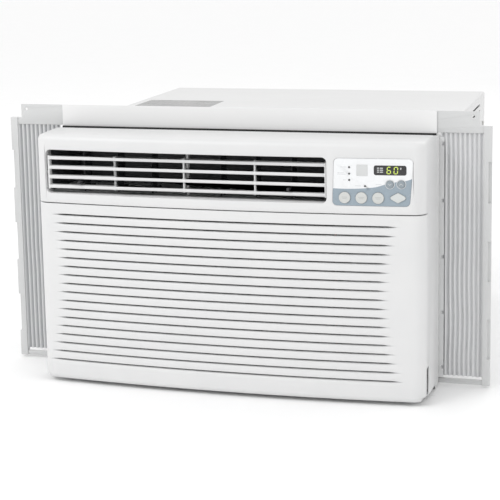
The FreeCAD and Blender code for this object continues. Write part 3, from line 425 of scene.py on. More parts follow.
def print_marks(base, group, ink, marks, share=1.0):
    """Lays printed marks over a colour; each mark holds the group's inputs in order, in millimetres."""
    for mark in marks:
        sizes = {number: size * MM for number, size in enumerate(mark)}
        printed = use_group(base.id_data, group, sizes)["Mask"]
        base = blend_colours(times(printed, share), base, ink)
    return base


# %% Control panel finish
PANEL_LEFT, PANEL_RIGHT = 182.3 * MM, 307 * MM
WAVE_LOW, WAVE_HIGH = 345 * MM, 375 * MM
WAVE = ((182.3, 351.6), (205, 351.2), (227, 352.1), (247.5, 354.2), (263.8, 358.8), (280, 362.6),
        (296.7, 365.2), (307, 369.1))
FIELD_BLUE, RING_WHITE, MARK_GREY = (0.285, 0.345, 0.395), (0.60, 0.62, 0.63), (0.42, 0.43, 0.44)
ARROWS = {"down_button": (271.4, 359.2), "up_button": (289.0, 359.6)}
BAR_MARKS = ((198.5, 385.6, 4.5), (194.5, 376.3, 5.0), (196.0, 374.2, 6.5), (200.5, 365.2, 2.2),
             (221.5, 356.2, 4.5), (254.0, 358.8, 4.6))
RING_RADIUS, RING_WIDTH, HALF_MARK, SOFT_BORDER = 7.0, 0.55, 0.55, 0.1 * MM

base, shader = finish("panel_plastic", (0.80, 0.81, 0.82), (0.78, 0.79, 0.80), (0.22, 0.3), depth=0.00001,
                      dust=0.0, coat=0.15, seed=20.0)
x, _, z = split(place_on(base.id_data))
curve = add(base.id_data, "ShaderNodeFloatCurve", {"Value": ramp(x, PANEL_LEFT, PANEL_RIGHT)})
spots = [((x * MM - PANEL_LEFT) / (PANEL_RIGHT - PANEL_LEFT), (z * MM - WAVE_LOW) / (WAVE_HIGH - WAVE_LOW))
         for x, z in WAVE]
points = curve.mapping.curves[0].points
points[0].location, points[1].location = spots[0], spots[-1]
for spot in spots[1:-1]:
    points.new(*spot)
curve.mapping.update()
wave = ramp(curve.outputs[0], 0.0, 1.0, WAVE_LOW, WAVE_HIGH)
base = blend_colours(ramp(minus(wave, z), -SOFT_BORDER, SOFT_BORDER), base, FIELD_BLUE)
base = print_marks(base, ring_print, RING_WHITE,
                   [(*spot, RING_RADIUS, RING_WIDTH) for spot in ARROWS.values()])
base = print_marks(base, bar_print, MARK_GREY, [(*mark, HALF_MARK) for mark in BAR_MARKS], share=0.45)
connect(base, shader["Base Color"])
print("wave points:", len(points))

# %% [markdown]
# The pleats have the vinyl's finish with one thing more: painted shade in the bottoms of the folds. The
# fold runs along the depth of the curtain, so the painted shade follows that one coordinate. It is painted
# stronger on the left curtain than on the right.

# %% Pleat finish
FOLD_FRONT, FOLD_BACK = 3.4 * MM, 7.2 * MM
CURTAIN_REACH, LEFT_SHADE_SHARE, RIGHT_SHADE_SHARE = 300 * MM, 0.75, 0.3
PAINTED_FOLD_SHADE = (0.30, 0.31, 0.32)
base, shader = finish("pleat_vinyl", (0.72, 0.725, 0.73), (0.70, 0.705, 0.71), (0.4, 0.5), grain=0.0012,
                      depth=0.00003, dust=0.02, seed=30.0)
x, y, _ = split(place_on(base.id_data))
# painted shade: grey in the bottoms of the folds, stronger on the left curtain
shade_share = ramp(x, -CURTAIN_REACH, CURTAIN_REACH, LEFT_SHADE_SHARE, RIGHT_SHADE_SHARE)
base = blend_colours(times(ramp(y, FOLD_FRONT, FOLD_BACK), shade_share), base, PAINTED_FOLD_SHADE)
connect(base, shader["Base Color"])
print("pleat finish ready")

# %% [markdown]
# The floor of the outlet faces up to the daylight that comes in under the lowest bar. That light is painted
# into its colour as a pale grey step at the foot of the dark duct: painted light, laid on where the surface
# is low and faces upwards.

# %% Outlet finish
FLOOR_ENDS, FLOOR_STARTS = 330 * MM, 328 * MM
PAINTED_FLOOR_LIGHT = (0.62, 0.625, 0.63)
base, shader = finish("outlet_grey", DARK, DARK_DRIFT, (0.45, 0.6), dust=0.02, seed=31.0)
# painted light: pale grey on the low floor of the outlet where it faces up
low_down = ramp(split(place_on(base.id_data))["Z"], FLOOR_ENDS, FLOOR_STARTS)
pale = times(ramp(facing_up(base.id_data), 0.5, 0.9), low_down)
connect(blend_colours(pale, base, PAINTED_FLOOR_LIGHT), shader["Base Color"])
finish("vane_black", (0.026, 0.027, 0.030), (0.032, 0.033, 0.036), (0.45, 0.6), dust=0.02, seed=32.0)
print("outlet finishes ready")

# %% [markdown]
# The buttons are soft pale caps with two short printed bars each, in place of the words on a real one. The
# power key is a wide lozenge. The two arrow keys are blue-grey. The display is a gloss black window.

# %% Button and display finishes
BUTTON_PLACES = {"mode_button": (200.7, 337.3), "fan_button": (227.0, 337.3), "timer_button": (253.2, 337.3)}
CAP_MARKS = ((1.0, 4.6), (-1.1, 3.4))
base, shader = finish("button_rubber", (0.60, 0.61, 0.59), (0.56, 0.57, 0.555), (0.42, 0.55), dust=0.0,
                      seed=21.0)
marks = [(x, z + lift, half, 0.5) for x, z in BUTTON_PLACES.values() for lift, half in CAP_MARKS]
connect(print_marks(base, bar_print, (0.30, 0.31, 0.31), marks, share=0.5), shader["Base Color"])
finish("power_plastic", (0.60, 0.62, 0.61), (0.56, 0.58, 0.575), (0.36, 0.46), dust=0.0, seed=22.0)
finish("arrow_rubber", (0.28, 0.32, 0.35), (0.25, 0.29, 0.32), (0.4, 0.5), dust=0.0, seed=23.0)
finish("display_black", (0.008, 0.008, 0.009), (0.012, 0.012, 0.014), (0.10, 0.16), depth=0.000005, dust=0.0,
       coat=0.6, seed=24.0)
finish("lamp_dark", (0.06, 0.06, 0.06), (0.09, 0.085, 0.08), (0.2, 0.3), dust=0.0, coat=0.5, seed=25.0)
finish("icon_white", (0.55, 0.56, 0.56), (0.50, 0.51, 0.51), (0.3, 0.4), dust=0.0, seed=26.0)
base, shader = finish("digit_glow", (0.45, 0.56, 0.10), (0.42, 0.52, 0.09), (0.3, 0.4), dust=0.0, seed=27.0)
connect(base, shader["Emission Color"])
shader["Emission Strength"].default_value = 0.75
print("finishes:", len(finishes))

# %% [markdown]
# Each node of the frame belongs to a named material slot. Giving every one of them its finish first means
# that nothing is left plain, whether or not a more detailed piece takes its place later.

# %% Finish on every sub-part
SLOT_OF = {label: node.data.materials[0].name.split(".")[0] for label, node in nodes.items()}
for label, node in nodes.items():
    for number in range(len(node.data.materials)):
        node.data.materials[number] = finishes[SLOT_OF[label]]
print("slots in use:", sorted(set(SLOT_OF.values())))

# %% [markdown]
# Real edges are never knife-sharp: a folded sheet has a bend radius, and a moulding has to leave its mould.
# The frame's parts are exact but sharp. This helper copies one, joins its loose triangles, melts the flat
# ones together, and gives it a narrow live bevel on its corners with smooth shading.

# %% Helpers for pieces
def new_piece(name, mesh):
    piece = bpy.data.objects.new(name, mesh)
    scene.collection.objects.link(piece)
    return piece


def settle(piece, body, slot, *replaced):
    """A finished piece rides on its body, takes its slot's finish if it has none, and hides the nodes it
    replaces.
    """
    if not piece.data.materials:
        piece.data.materials.append(finishes[slot])
    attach(piece, body)
    if replaced:
        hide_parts(*replaced)
    return piece


def smooth(mesh, crease):
    """Shades a mesh smooth, but for edges sharper than an angle in degrees."""
    mesh.shade_smooth()
    mesh.set_sharp_from_angle(angle=math.radians(crease))


def mesh_of(shape, name, finish_name):
    """Ends the making of a shape as a mesh with its finish."""
    mesh = bpy.data.meshes.new(name)
    shape.to_mesh(mesh)
    shape.free()
    mesh.materials.append(finishes[finish_name])
    return mesh


def welded(mesh, crease=None):
    """Joins the doubled points of a mesh and turns its faces outwards."""
    shape = bmesh.new()
    shape.from_mesh(mesh)
    bmesh.ops.remove_doubles(shape, verts=shape.verts, dist=0.002 * MM)
    bmesh.ops.recalc_face_normals(shape, faces=shape.faces)
    open_edges = sum(1 for edge in shape.edges if len(edge.link_faces) != 2)
    shape.to_mesh(mesh)
    shape.free()
    if crease:
        smooth(mesh, crease)
    print("faces", len(mesh.polygons), "edges without two faces", open_edges)


# %% Softened copies
CREASE, BEVEL_STEPS = 32, 2


def softened(label, width, finish_name):
    """A copy of a node with its corners rounded by a width in millimetres."""
    shape = bmesh.new()
    shape.from_mesh(nodes[label].data)
    bmesh.ops.remove_doubles(shape, verts=shape.verts, dist=0.004 * MM)
    bmesh.ops.dissolve_limit(shape, angle_limit=math.radians(0.4), verts=shape.verts, edges=shape.edges)
    mesh = mesh_of(shape, "soft_" + label, finish_name or SLOT_OF[label])
    piece = new_piece("soft_" + label, mesh)
    if width:
        mesh.shade_smooth()
        rounding = piece.modifiers.new("rounding", "BEVEL")
        rounding.width = width * MM
        rounding.segments = BEVEL_STEPS
        rounding.limit_method = "ANGLE"
        rounding.angle_limit = math.radians(CREASE)
        rounding.use_clamp_overlap = False
        rounding.harden_normals = True
    else:
        smooth(mesh, CREASE)
    return settle(piece, nodes[label]["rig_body"], SLOT_OF[label], label)


SOFT_WIDTHS = {
    "front_bezel": 0.7, "outer_cabinet": 0.35, "rear_grille": 0.35, "base_pan": 0.4, "top_window_rail": 0.35,
    "bottom_window_rail": 0.2, "left_side_retainer": 0.3, "right_side_retainer": 0.3,
               "left_curtain_frame": 0.6,
    "right_curtain_frame": 0.6, "outlet_frame": 0.5, "outlet_post": 0.5, "outlet_duct": 0.4,
               "deflector_grid": 1.3,
    "control_panel": 0.15, "receiver_window": 0.12, "display_lens": 0.15, "indicator_lights": 0.12,
    "cord_bush": 0.5, "bulkhead": 0.3, "fan_shroud": 0.4, "motor_cradle": 0.4, "electrical_box": 0.4,
    "left_vane_link": 0.3, "right_vane_link": 0.3, "mode_button": 0.6, "fan_button": 0.6, "timer_button": 0.6,
    "power_button": 0.6, "down_button": 0.4, "up_button": 0.4, "fan_motor": 2.0, "compressor": 0,
               "accumulator": 6.0,
    "accumulator_stand": 0.5, "compressor_mounts": 1.5, "capacitor": 1.5, "blower_wheel": 0,
               "condenser_fan": 0,
    "blower_housing": 1.0, "refrigerant_pipes": 0, "fan_shaft": 0.3, "grille_hinge_pins": 0.3,
               "air_filter": 0.3,
    "control_board": 0.1,
}
SOFT_FINISHES = {"outlet_frame": "outlet_grey", "outlet_duct": "outlet_grey", "top_window_rail": "rail_paint",
                 "down_button": "arrow_rubber", "up_button": "arrow_rubber", "indicator_lights": "lamp_dark"}
for number in range(1, 7):
    SOFT_WIDTHS[f"vane_{number}"] = 0.4
    SOFT_FINISHES[f"vane_{number}"] = "vane_black"
for label, width in SOFT_WIDTHS.items():
    softened(label, width, SOFT_FINISHES.get(label))
print("softened:", len(SOFT_WIDTHS))

# %% [markdown]
# The inlet grille is the face of the unit: a bowed door with eighteen air slots between broad, nearly flat
# slats. Cutting slots into a plate would give sharp, even ends, but on the real door every slot fades out:
# its lips rise to the face and close to a point. So the door is woven as one sheet of rows and columns. The
# rows follow the slats, the columns follow the bow in plan, and the lips of a slot are two rows that part.
#
# First comes the door's outline in plan, as points and outward directions along its length.

# %% Outline of the door in plan
BOW_HALF, BOW_DEPTH, FRONT_DEPTH = 307.0, 13.5, 135.0
CORNER, SIDE_FOOT, SIDE_HEAD = 22.0, np.array((331.0, -28.0)), np.array((326.5, -103.0))
SIDE_RUN, BOW_STEPS, CORNER_STEPS = 30, 200, 60
BOW_RADIUS = (BOW_HALF ** 2 + BOW_DEPTH ** 2) / (2 * BOW_DEPTH)


def heading(turn):
    """Direction in plan at a turn to the right from straight out of the face."""
    return np.array((math.sin(turn), -math.cos(turn)))


side_way = (SIDE_HEAD - SIDE_FOOT) / np.linalg.norm(SIDE_HEAD - SIDE_FOOT)
side_out = np.array((-side_way[1], side_way[0]))
bow_middle = np.array((0.0, BOW_RADIUS - FRONT_DEPTH))
start = SIDE_FOOT - side_out * CORNER
offset = start - bow_middle
step = offset @ side_way
run = -step + math.sqrt(step ** 2 - offset @ offset + (BOW_RADIUS - CORNER) ** 2)
corner_middle = start + side_way * run
turn_in = math.atan2(corner_middle[0] - bow_middle[0], bow_middle[1] - corner_middle[1])
turn_out = math.atan2(side_out[0], -side_out[1])
trail = [(bow_middle + heading(turn) * BOW_RADIUS, heading(turn))
         for turn in np.linspace(0, turn_in, BOW_STEPS)]
trail += [(corner_middle + heading(turn) * CORNER, heading(turn))
          for turn in np.linspace(turn_in, turn_out, CORNER_STEPS)[1:]]
corner_end = trail[-1][0]
trail += [(corner_end - side_way * reach, side_out) for reach in range(1, SIDE_RUN + 1)]
trail_points = np.array([point for point, _ in trail])
trail_outs = np.array([out for _, out in trail])
trail_run = np.concatenate([[0], np.cumsum(np.linalg.norm(np.diff(trail_points, axis=0), axis=1))])


def on_outline(run_from_middle):
    """Points and outward directions at distances along the outline; left of the middle is negative."""
    away, side = np.abs(run_from_middle), np.sign(run_from_middle)
    point, out = (np.stack([np.interp(away, trail_run, values[:, i]) for i in (0, 1)], axis=-1)
                  for values in (trail_points, trail_outs))
    point[..., 0] *= side
    out[..., 0] *= side
    return point, out


print("half outline", round(float(trail_run[-1]), 1), "mm")

# %% [markdown]
# Then the rows and the columns. A column keeps its share of the way between the two ends of the slot beside
# it, so the fading ends fall on the same columns in every row. How far a slot is open is a smooth step from
# its end. Lower down, the door's sides reach further back.

# %% Rows and columns of the door
SLOTS, PITCH, FIRST_SLOT = 18, 14.72, 41.0
DOOR_LOW, DOOR_HIGH, EDGE_ROUND, TOP_ROUND = 6.0, 309.8, 9.0, 1.5
FADE, SLAT_DEPTH, LIP_DEPTH, OPEN_HALF = 26.0, 5.0, 1.8, 1.35
TOP_FLATNESS, LIP_FLATNESS = 2.6, 5.0
WALL, LIP_THINNER, FOOT_TURN = 3.0, 1.2, 4.0
SIDE_BACK, SLIT_BACK, FLOOR_BACK = -98.0, -103.0, -114.0
SLIT_HIGH, FLOOR_HIGH = 60.0, 13.0
LAST_END = 321


def slot_ends(z):
    """Distances along the outline of the left and the right slot end, at a height."""
    from_top = SLOTS - 1 - (z - FIRST_SLOT) / PITCH
    left = 294.6 + 0.18 * (from_top - 6.3) ** 2
    right = 272 + 0.27 * (from_top - 7.8) ** 2
    left_run, right_run = (np.interp(min(end, LAST_END), trail_points[:, 0], trail_run)
                           for end in (left, right))
    return -left_run, right_run


def door_row(z, inset=0.0, sink=0.0, part=0.0):
    """One row: the run, height, inset, sink and share of opening for each of its columns."""
    back = SIDE_BACK if z > SLIT_HIGH else SLIT_BACK if z > FLOOR_HIGH else FLOOR_BACK
    left, right = slot_ends(np.clip(z, FIRST_SLOT, FIRST_SLOT + PITCH * (SLOTS - 1)))
    end = float(np.interp(-back, -trail_points[::-1, 1], trail_run[::-1]))
    fading = FADE * np.linspace(0, 1, 9)[:-1]
    inner = np.linspace(left + FADE, right - FADE, 34)
    runs = np.concatenate([np.linspace(-end, left, 12)[:-1], left + fading, inner, right - fading[::-1],
                           np.linspace(right, end, 12)[1:]])
    near = np.clip(np.minimum(runs - left, right - runs) / FADE, 0, 1)
    opening = near * near * (3 - 2 * near)
    return runs, z + part * opening, inset, sink * opening, opening


def slat_sink(share):
    """How far a slat draws back: deeply towards its top, share 1, and a little towards its foot, share -1."""
    depth, flatness = (SLAT_DEPTH, TOP_FLATNESS) if share > 0 else (LIP_DEPTH, LIP_FLATNESS)
    return depth * (1 - (1 - abs(share) ** flatness) ** (1 / flatness))


def rounded_edge(degrees, radius):
    """How far a rounded edge has risen and drawn back after a turn."""
    return radius * (1 - math.sin(math.radians(degrees))), radius * (1 - math.cos(math.radians(degrees)))


rows, lips = [], []
half_slat = (PITCH - 2 * OPEN_HALF) / 2
for turn in (90, 60, 30, 0):
    drop, inset = rounded_edge(turn, TOP_ROUND)
    rows.append(door_row(DOOR_HIGH - drop, inset))
top_slat = FIRST_SLOT + PITCH * (SLOTS - 1) + OPEN_HALF + half_slat
rows += [door_row(top_slat + half_slat * share, 0, slat_sink(min(share, 0)))
         for share in (0.2, 0.0, -0.5, -0.8, -0.93)]
for slot in reversed(range(SLOTS)):
    middle = FIRST_SLOT + slot * PITCH
    lips.append(len(rows))
    rows += [door_row(middle, 0, LIP_DEPTH, OPEN_HALF), door_row(middle, 0, SLAT_DEPTH, -OPEN_HALF)]
    for share in (0.97, 0.9, 0.78, 0.5, 0.0, -0.5, -0.78, -0.9, -0.97):
        if slot > 0 or share >= 0:
            rows.append(door_row(middle - PITCH / 2 + half_slat * share, 0, slat_sink(share)))
for turn in range(0, 91, 15):
    rise, inset = rounded_edge(turn, EDGE_ROUND)
    rows.append(door_row(DOOR_LOW + rise, inset))
rows.append(door_row(DOOR_LOW, EDGE_ROUND + FOOT_TURN))
print("door:", len(rows), "rows of", len(rows[0][0]), "columns")

# %% Door mesh
outer, inner = [], []
for runs, heights, inset, sink, opening in rows:
    point, out = on_outline(runs)
    face = point - out * (inset + sink)[:, None]
    rear = point - out * (inset + WALL + opening * (SLAT_DEPTH - LIP_THINNER))[:, None]
    low = DOOR_LOW + WALL if inset > 0 and heights[0] < FIRST_SLOT else 0
    outer.append(np.column_stack([face, heights]))
    inner.append(np.column_stack([rear, np.maximum(heights, low)]))
row_count, column_count = len(rows), len(rows[0][0])
verts = np.concatenate(outer + inner) * MM


def at(row, column, layer=0):
    return (layer * row_count + row) * column_count + column


def across_wall(row, column, next_row, next_column):
    """A face through the wall, between two neighbouring points of the sheet."""
    return at(row, column), at(next_row, next_column), at(next_row, next_column, 1), at(row, column, 1)


faces = []
sheet_rows = [row for row in range(row_count - 1) if row not in lips]
columns = range(column_count - 1)
for row in sheet_rows:
    for column in columns:
        faces.append((at(row, column), at(row + 1, column), at(row + 1, column + 1), at(row, column + 1)))
        faces.append((at(row, column, 1), at(row, column + 1, 1), at(row + 1, column + 1, 1),
                      at(row + 1, column, 1)))
    faces += [across_wall(row, column, row + 1, column) for column in (0, column_count - 1)]
for lip in lips:
    opened = [column for column in columns if max(rows[lip][4][column:column + 2]) > 0]
    faces += [across_wall(row, column, row, column + 1) for row in (lip, lip + 1) for column in opened]
faces += [across_wall(row, column, row, column + 1) for row in (0, row_count - 1) for column in columns]
mesh = bpy.data.meshes.new("door_grille")
mesh.from_pydata(verts.tolist(), [], faces)
welded(mesh, crease=50)
settle(new_piece("door_grille", mesh), "grille_door", "front_plastic", "inlet_grille")

# %% [markdown]
# What repeats, or follows a rule, is grown by geometry nodes: pleats, louvres, fins, tube bends, wires and
# screws. Each tree has named sizes as inputs. One helper starts a tree and one ends it with real, not
# instanced, shapes and their finish. Another runs a tree on a bare holder, takes the result as a plain
# mesh, and turns its faces outwards.

# %% Geometry helpers
def start_tree(name, inputs):
    """A geometry tree with named inputs and their start values; returns the tree and its input sockets."""
    tree = bpy.data.node_groups.new(name, "GeometryNodeTree")
    tree.interface.new_socket("Geometry", in_out="INPUT", socket_type="NodeSocketGeometry")
    named_inputs(tree, inputs)
    tree.interface.new_socket("Finish", in_out="INPUT", socket_type="NodeSocketMaterial")
    tree.interface.new_socket("Geometry", in_out="OUTPUT", socket_type="NodeSocketGeometry")
    return tree, add(tree, "NodeGroupInput").outputs


def end_tree(given, geometry):
    tree = geometry.id_data
    real = result(tree, "GeometryNodeRealizeInstances", {0: geometry})
    painted = result(tree, "GeometryNodeSetMaterial", {"Geometry": real, "Material": given["Finish"]})
    add(tree, "NodeGroupOutput", {0: painted})
    print("tree", tree.name, "has", len(tree.nodes), "nodes")


def grow(name, tree, finish_name, points=(), flat=False, **sizes):
    """Runs a tree with its inputs set, on bare points where it needs them, and keeps the result as a mesh."""
    seedbed = bpy.data.meshes.new(name + "_points")
    seedbed.from_pydata(points, [], [])
    holder = new_piece(name + "_holder", seedbed)
    maker = holder.modifiers.new("maker", "NODES")
    maker.node_group = tree
    sizes["Finish"] = finishes[finish_name]
    for item in tree.interface.items_tree:
        label = item.name.replace(" ", "_")
        if item.in_out == "INPUT" and label in sizes:
            maker[item.identifier] = sizes[label]
    graph = bpy.context.evaluated_depsgraph_get()
    mesh = bpy.data.meshes.new_from_object(holder.evaluated_get(graph))
    bpy.data.objects.remove(holder)
    print(name, end=": ")
    welded(mesh, crease=None if flat else 40)
    return new_piece(name, mesh)


# %% Steps that the trees share
def joined(*parts):
    made = add(parts[0].id_data, "GeometryNodeJoinGeometry")
    for part in parts:
        connect(part, made.inputs[0])
    return made.outputs[0]


def thick(surface, wall):
    """An open sheet with a wall: the sheet pushed out along its normals, and the sheet itself as the back."""
    tree = surface.id_data
    push = {"Mesh": surface, "Offset Scale": wall, "Individual": False}
    pushed = result(tree, "GeometryNodeExtrudeMesh", push, "Mesh", mode="FACES")
    return joined(pushed, result(tree, "GeometryNodeFlipFaces", {"Mesh": surface}))


def unit_sheet(tree, columns, rows):
    """A flat sheet, and how far each of its points lies across it and up it, from 0 to 1."""
    counts = {"Size X": 1.0, "Size Y": 1.0, "Vertices X": columns, "Vertices Y": rows}
    sheet = result(tree, "GeometryNodeMeshGrid", counts, "Mesh")
    x, y, _ = split(result(tree, "GeometryNodeInputPosition"))
    return sheet, plus(x, 0.5), plus(y, 0.5)


def laid_out(sheet, x, y, z):
    return result(sheet.id_data, "GeometryNodeSetPosition", {"Geometry": sheet, "Position": vector(x, y, z)})


def box_shape(size):
    return result(size.id_data, "GeometryNodeMeshCube", {"Size": size})


def point_row(count, start, step):
    return result(start.id_data, "GeometryNodeMeshLine",
                  {"Count": count, "Start Location": start, "Offset": step})


def repeated(shape, points, **more):
    inputs = {"Points": points, "Instance": shape, **more}
    return result(shape.id_data, "GeometryNodeInstanceOnPoints", inputs)


print("geometry helpers ready")

# %% [markdown]
# The side curtains are thin vinyl, folded into narrow pleats that open and close as the frame slides. The
# tree lays a sheet between the retainer and the frame's bar, folds it with a rounded zigzag, lets the folds
# wander a little with height, as vinyl does, and gives the sheet a wall.

# %% Pleated curtain tree
POINTS_PER_PLEAT, POINTS_UP, ROUND_SHARE = 12.0, 25, 0.6
pleated_sheet, given = start_tree("pleated_sheet", {
    "Left": 0.0, "Right": 0.1, "Bottom": 0.0, "Top": 0.4, "Front": 0.0, "Fold Depth": 0.004, "Pleats": 10,
    "Wall": 0.0006, "Wander": 0.001, "Seed": 0.0})
columns = plus(times(given["Pleats"], POINTS_PER_PLEAT), 1.0)
sheet, across, up = unit_sheet(pleated_sheet, columns, POINTS_UP)
zigzag = maths("PINGPONG", times(across, times(given["Pleats"], 2.0)), 1.0)
rounded = ramp(zigzag, 0.0, 1.0, interpolation_type="SMOOTHSTEP")
fold = plus(times(rounded, ROUND_SHARE), times(zigzag, 1 - ROUND_SHARE))
drift = result(pleated_sheet, "ShaderNodeTexNoise", {
    "W": plus(times(up, 3.0), given["Seed"]), "Scale": 1.0, "Detail": 1.0}, noise_dimensions="1D")
free = times(times(across, minus(1.0, across)), 4.0)
sway = times(times(minus(drift, 0.5), free), times(given["Wander"], 4.0))
folded = laid_out(
    sheet, plus(plus(given["Left"], sway), times(across, minus(given["Right"], given["Left"]))),
    plus(given["Front"], times(fold, given["Fold Depth"])),
    plus(given["Bottom"], times(up, minus(given["Top"], given["Bottom"]))))
end_tree(given, thick(folded, times(given["Wall"], -1.0)))

# %% Both curtains
WALL_OF_VINYL, WANDER = 0.5 * MM, 1.1 * MM
for side, pleats, slider, seed in (("left", 10, "left_slider", 2.0), ("right", 9, "right_slider", 7.0)):
    low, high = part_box(side + "_curtain")
    curtain = grow(side + "_pleats", pleated_sheet, "pleat_vinyl", Left=low.x, Right=high.x, Bottom=low.z,
                   Top=high.z, Front=low.y + WALL_OF_VINYL, Fold_Depth=high.y - low.y - 2 * WALL_OF_VINYL,
                   Pleats=pleats, Wall=WALL_OF_VINYL, Wander=WANDER, Seed=seed)
    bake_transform(curtain)
    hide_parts(side + "_curtain")

# %% [markdown]
# The cabinet's air slots are pressed, not just cut: the press pushes the metal above each slot inwards into
# a shallow hood that turns the air downwards. The tree makes one hood as a curved sheet that is open at its
# lower edge, gives it the sheet's thickness, and repeats it up the side.

# %% Louvre tree
END_SHARE = 0.06
pressed_louvres, given = start_tree("pressed_louvres", {
    "Start": (0.0, 0.0, 0.0), "Side": 1.0, "Length": 0.1, "Tall": 0.006, "Stand": 0.0025, "Sheet": 0.0007,
    "Count": 20, "Pitch": 0.0074})
sheet, along, up = unit_sheet(pressed_louvres, 21, 6)
near_end = maths("MINIMUM", maths("MINIMUM", along, minus(1.0, along)), END_SHARE)
end_rise = maths("POWER", over(near_end, END_SHARE), 0.5)
rise = times(maths("SINE", times(minus(1.0, up), math.pi / 2)), end_rise)
hood = laid_out(sheet, times(times(rise, given["Stand"]), given["Side"]), times(along, given["Length"]),
                times(up, given["Tall"]))
row = point_row(given["Count"], given["Start"], vector(z=given["Pitch"]))
end_tree(given, repeated(thick(hood, given["Sheet"]), row))

# %% Louvres in both sides
VENT_FROM, VENT_LOW, VENT_LONG, VENT_TALL = 428 * MM, 267.4 * MM, 130 * MM, 5.4 * MM
VENT_PITCH, VENT_COUNT, VENT_DEEP = 12 * MM, 12, 7 * MM
SHEET = 2.0 * MM
low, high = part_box("outer_cabinet")
for name, face, side in (("louvres_left", low.x + SHEET, 1.0), ("louvres_right", high.x - SHEET, -1.0)):
    louvres = grow(name, pressed_louvres, "cabinet_paint", Start=(face, VENT_FROM, VENT_LOW), Side=side,
                   Length=VENT_LONG, Tall=VENT_TALL, Stand=VENT_DEEP, Sheet=0.6 * MM, Count=VENT_COUNT,
                   Pitch=VENT_PITCH)
    settle(louvres, "chassis", "cabinet_paint")

# %% [markdown]
# The slots on top hold strips of dark grey, one in each slot, just under the skin of the sheet: painted
# shade that stands in for the shade deep in the slots. The same tree lays a strip of black foam along the
# foot of the top rail; it seals the rail against the sheet and also paints the shadow line under the rail.

# %% Painted shade strips and rail seal
strip_row, given = start_tree("strip_row", {
    "Low": (0.0, 0.0, 0.0), "Size": (0.1, 0.005, 0.001), "Pitch": 0.011, "Count": 1})
half = vector_maths("MULTIPLY", given["Size"], (0.5, 0.5, 0.5))
row = point_row(given["Count"], vector_maths("ADD", given["Low"], half), vector(y=given["Pitch"]))
end_tree(given, repeated(box_shape(given["Size"]), row))
# painted shade: dark strips in the top slots, and a black strip that paints the shadow line under the rail
for name, slot, low, size, pitch, count in (
        ("top_vent_net", "filter_net", (-309.8, 315.1, 418.8), (152.6, 5.4, 1.15), 11 * MM, 9),
        ("rail_seal", "rubber_black", (-325.5, -3.2, 420.1), (651, 3, 3.2), 0.0, 1)):
    strips = grow(name, strip_row, slot, flat=True, Low=[place * MM for place in low],
                  Size=[side * MM for side in size], Pitch=pitch, Count=count)
    settle(strips, "chassis", slot)

# %% [markdown]
# Both heat exchangers are packs of thin fins on rows of tubes. Hundreds of fins are repeated, so one fin is
# a bare box of six faces, set along a line. The tube ends show as return bends at both sides, and each pack
# has an end plate.

# %% Fin and bend trees
fin_pack, given = start_tree("fin_pack", {
    "Low": (0.0, 0.0, 0.0), "Size": (0.1, 0.02, 0.1), "Pitch": 0.002, "Thickness": 0.0003})
x, y, z = split(given["Size"])
count = plus(maths("FLOOR", over(x, given["Pitch"])), 1.0)
begin = vector_maths("ADD", given["Low"], vector(y=times(y, 0.5), z=times(z, 0.5)))
row = point_row(count, begin, vector(x=given["Pitch"]))
end_tree(given, repeated(box_shape(vector(given["Thickness"], y, z)), row))

return_bends, given = start_tree("return_bends", {
    "Bend Radius": 0.005, "Tube Radius": 0.003, "Turn": (0.0, 0.0, 0.0)})
arc = result(return_bends, "GeometryNodeCurveArc", {
    "Resolution": 10, "Radius": given["Bend Radius"], "Start Angle": -math.pi / 2, "Sweep Angle": math.pi})
ring = result(return_bends, "GeometryNodeCurvePrimitiveCircle",
              {"Resolution": 10, "Radius": given["Tube Radius"]})
tube = result(return_bends, "GeometryNodeCurveToMesh",
              {"Curve": arc, "Profile Curve": ring, "Fill Caps": True})
end_tree(given, repeated(tube, given["Geometry"], Rotation=given["Turn"]))

# %% Evaporator and condenser
END_GAP, TUBE_RADIUS, BEND_RADIUS, PLATE = 12 * MM, 3.2 * MM, 5.4 * MM, 1.6 * MM
FIN_PITCH, FIN_WALL, FIN_CLEARANCE, TUBE_COLUMNS = 2.2 * MM, 0.45 * MM, 1 * MM, 2


def plate_box(name, low, high, finish_name):
    """A folded sheet plate with rounded edges, from its lowest and highest corner."""
    shape = bmesh.new()
    bmesh.ops.create_cube(shape, size=1.0)
    low, high = Vector(low), Vector(high)
    for vert in shape.verts:
        vert.co = Vector(low[i] if vert.co[i] < 0 else high[i] for i in range(3))
    bmesh.ops.bevel(shape, geom=shape.edges, offset=min(high - low) * 0.3, segments=2, profile=0.5,
                    affect="EDGES")
    mesh = mesh_of(shape, name, finish_name)
    smooth(mesh, 40)
    return new_piece(name, mesh)


for coil, tubes_up in (("evaporator_coil", 8), ("condenser_coil", 10)):
    low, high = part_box(coil)
    inset = END_GAP + PLATE + FIN_CLEARANCE
    fins = grow(coil + "_fins", fin_pack, "coil_aluminium", flat=True, Low=(low.x + inset, low.y, low.z),
                Size=(high.x - low.x - 2 * inset, high.y - low.y, high.z - low.z), Pitch=FIN_PITCH,
                Thickness=FIN_WALL)
    settle(fins, "chassis", "coil_aluminium", coil)
    for side, turn, face, inwards in (("left", math.pi, low.x, 1), ("right", 0, high.x, -1)):
        plate_x = face + inwards * END_GAP
        spots = [(plate_x, low.y + (high.y - low.y) * (column + 0.5) / TUBE_COLUMNS,
                  low.z + (high.z - low.z) * (row + 0.5) / tubes_up)
                 for column in range(TUBE_COLUMNS) for row in range(tubes_up)]
        bends = grow(f"{coil}_bends_{side}", return_bends, "copper", points=spots, Bend_Radius=BEND_RADIUS,
                     Tube_Radius=TUBE_RADIUS, Turn=(math.pi / 2, 0, turn))
        settle(bends, "chassis", "copper")
        near, far = sorted((plate_x, plate_x + inwards * PLATE))
        plate = plate_box(f"{coil}_plate_{side}", (near, low.y, low.z), (far, high.y, high.z),
                          "galvanised_steel")
        settle(plate, "chassis", "coil_aluminium")

# %% [markdown]
# The air filter is a fine net in a ribbed frame, just behind the slots of the door. Its wires are two
# crossed sets of thin bars from the same fin tree, one of them turned on its side.

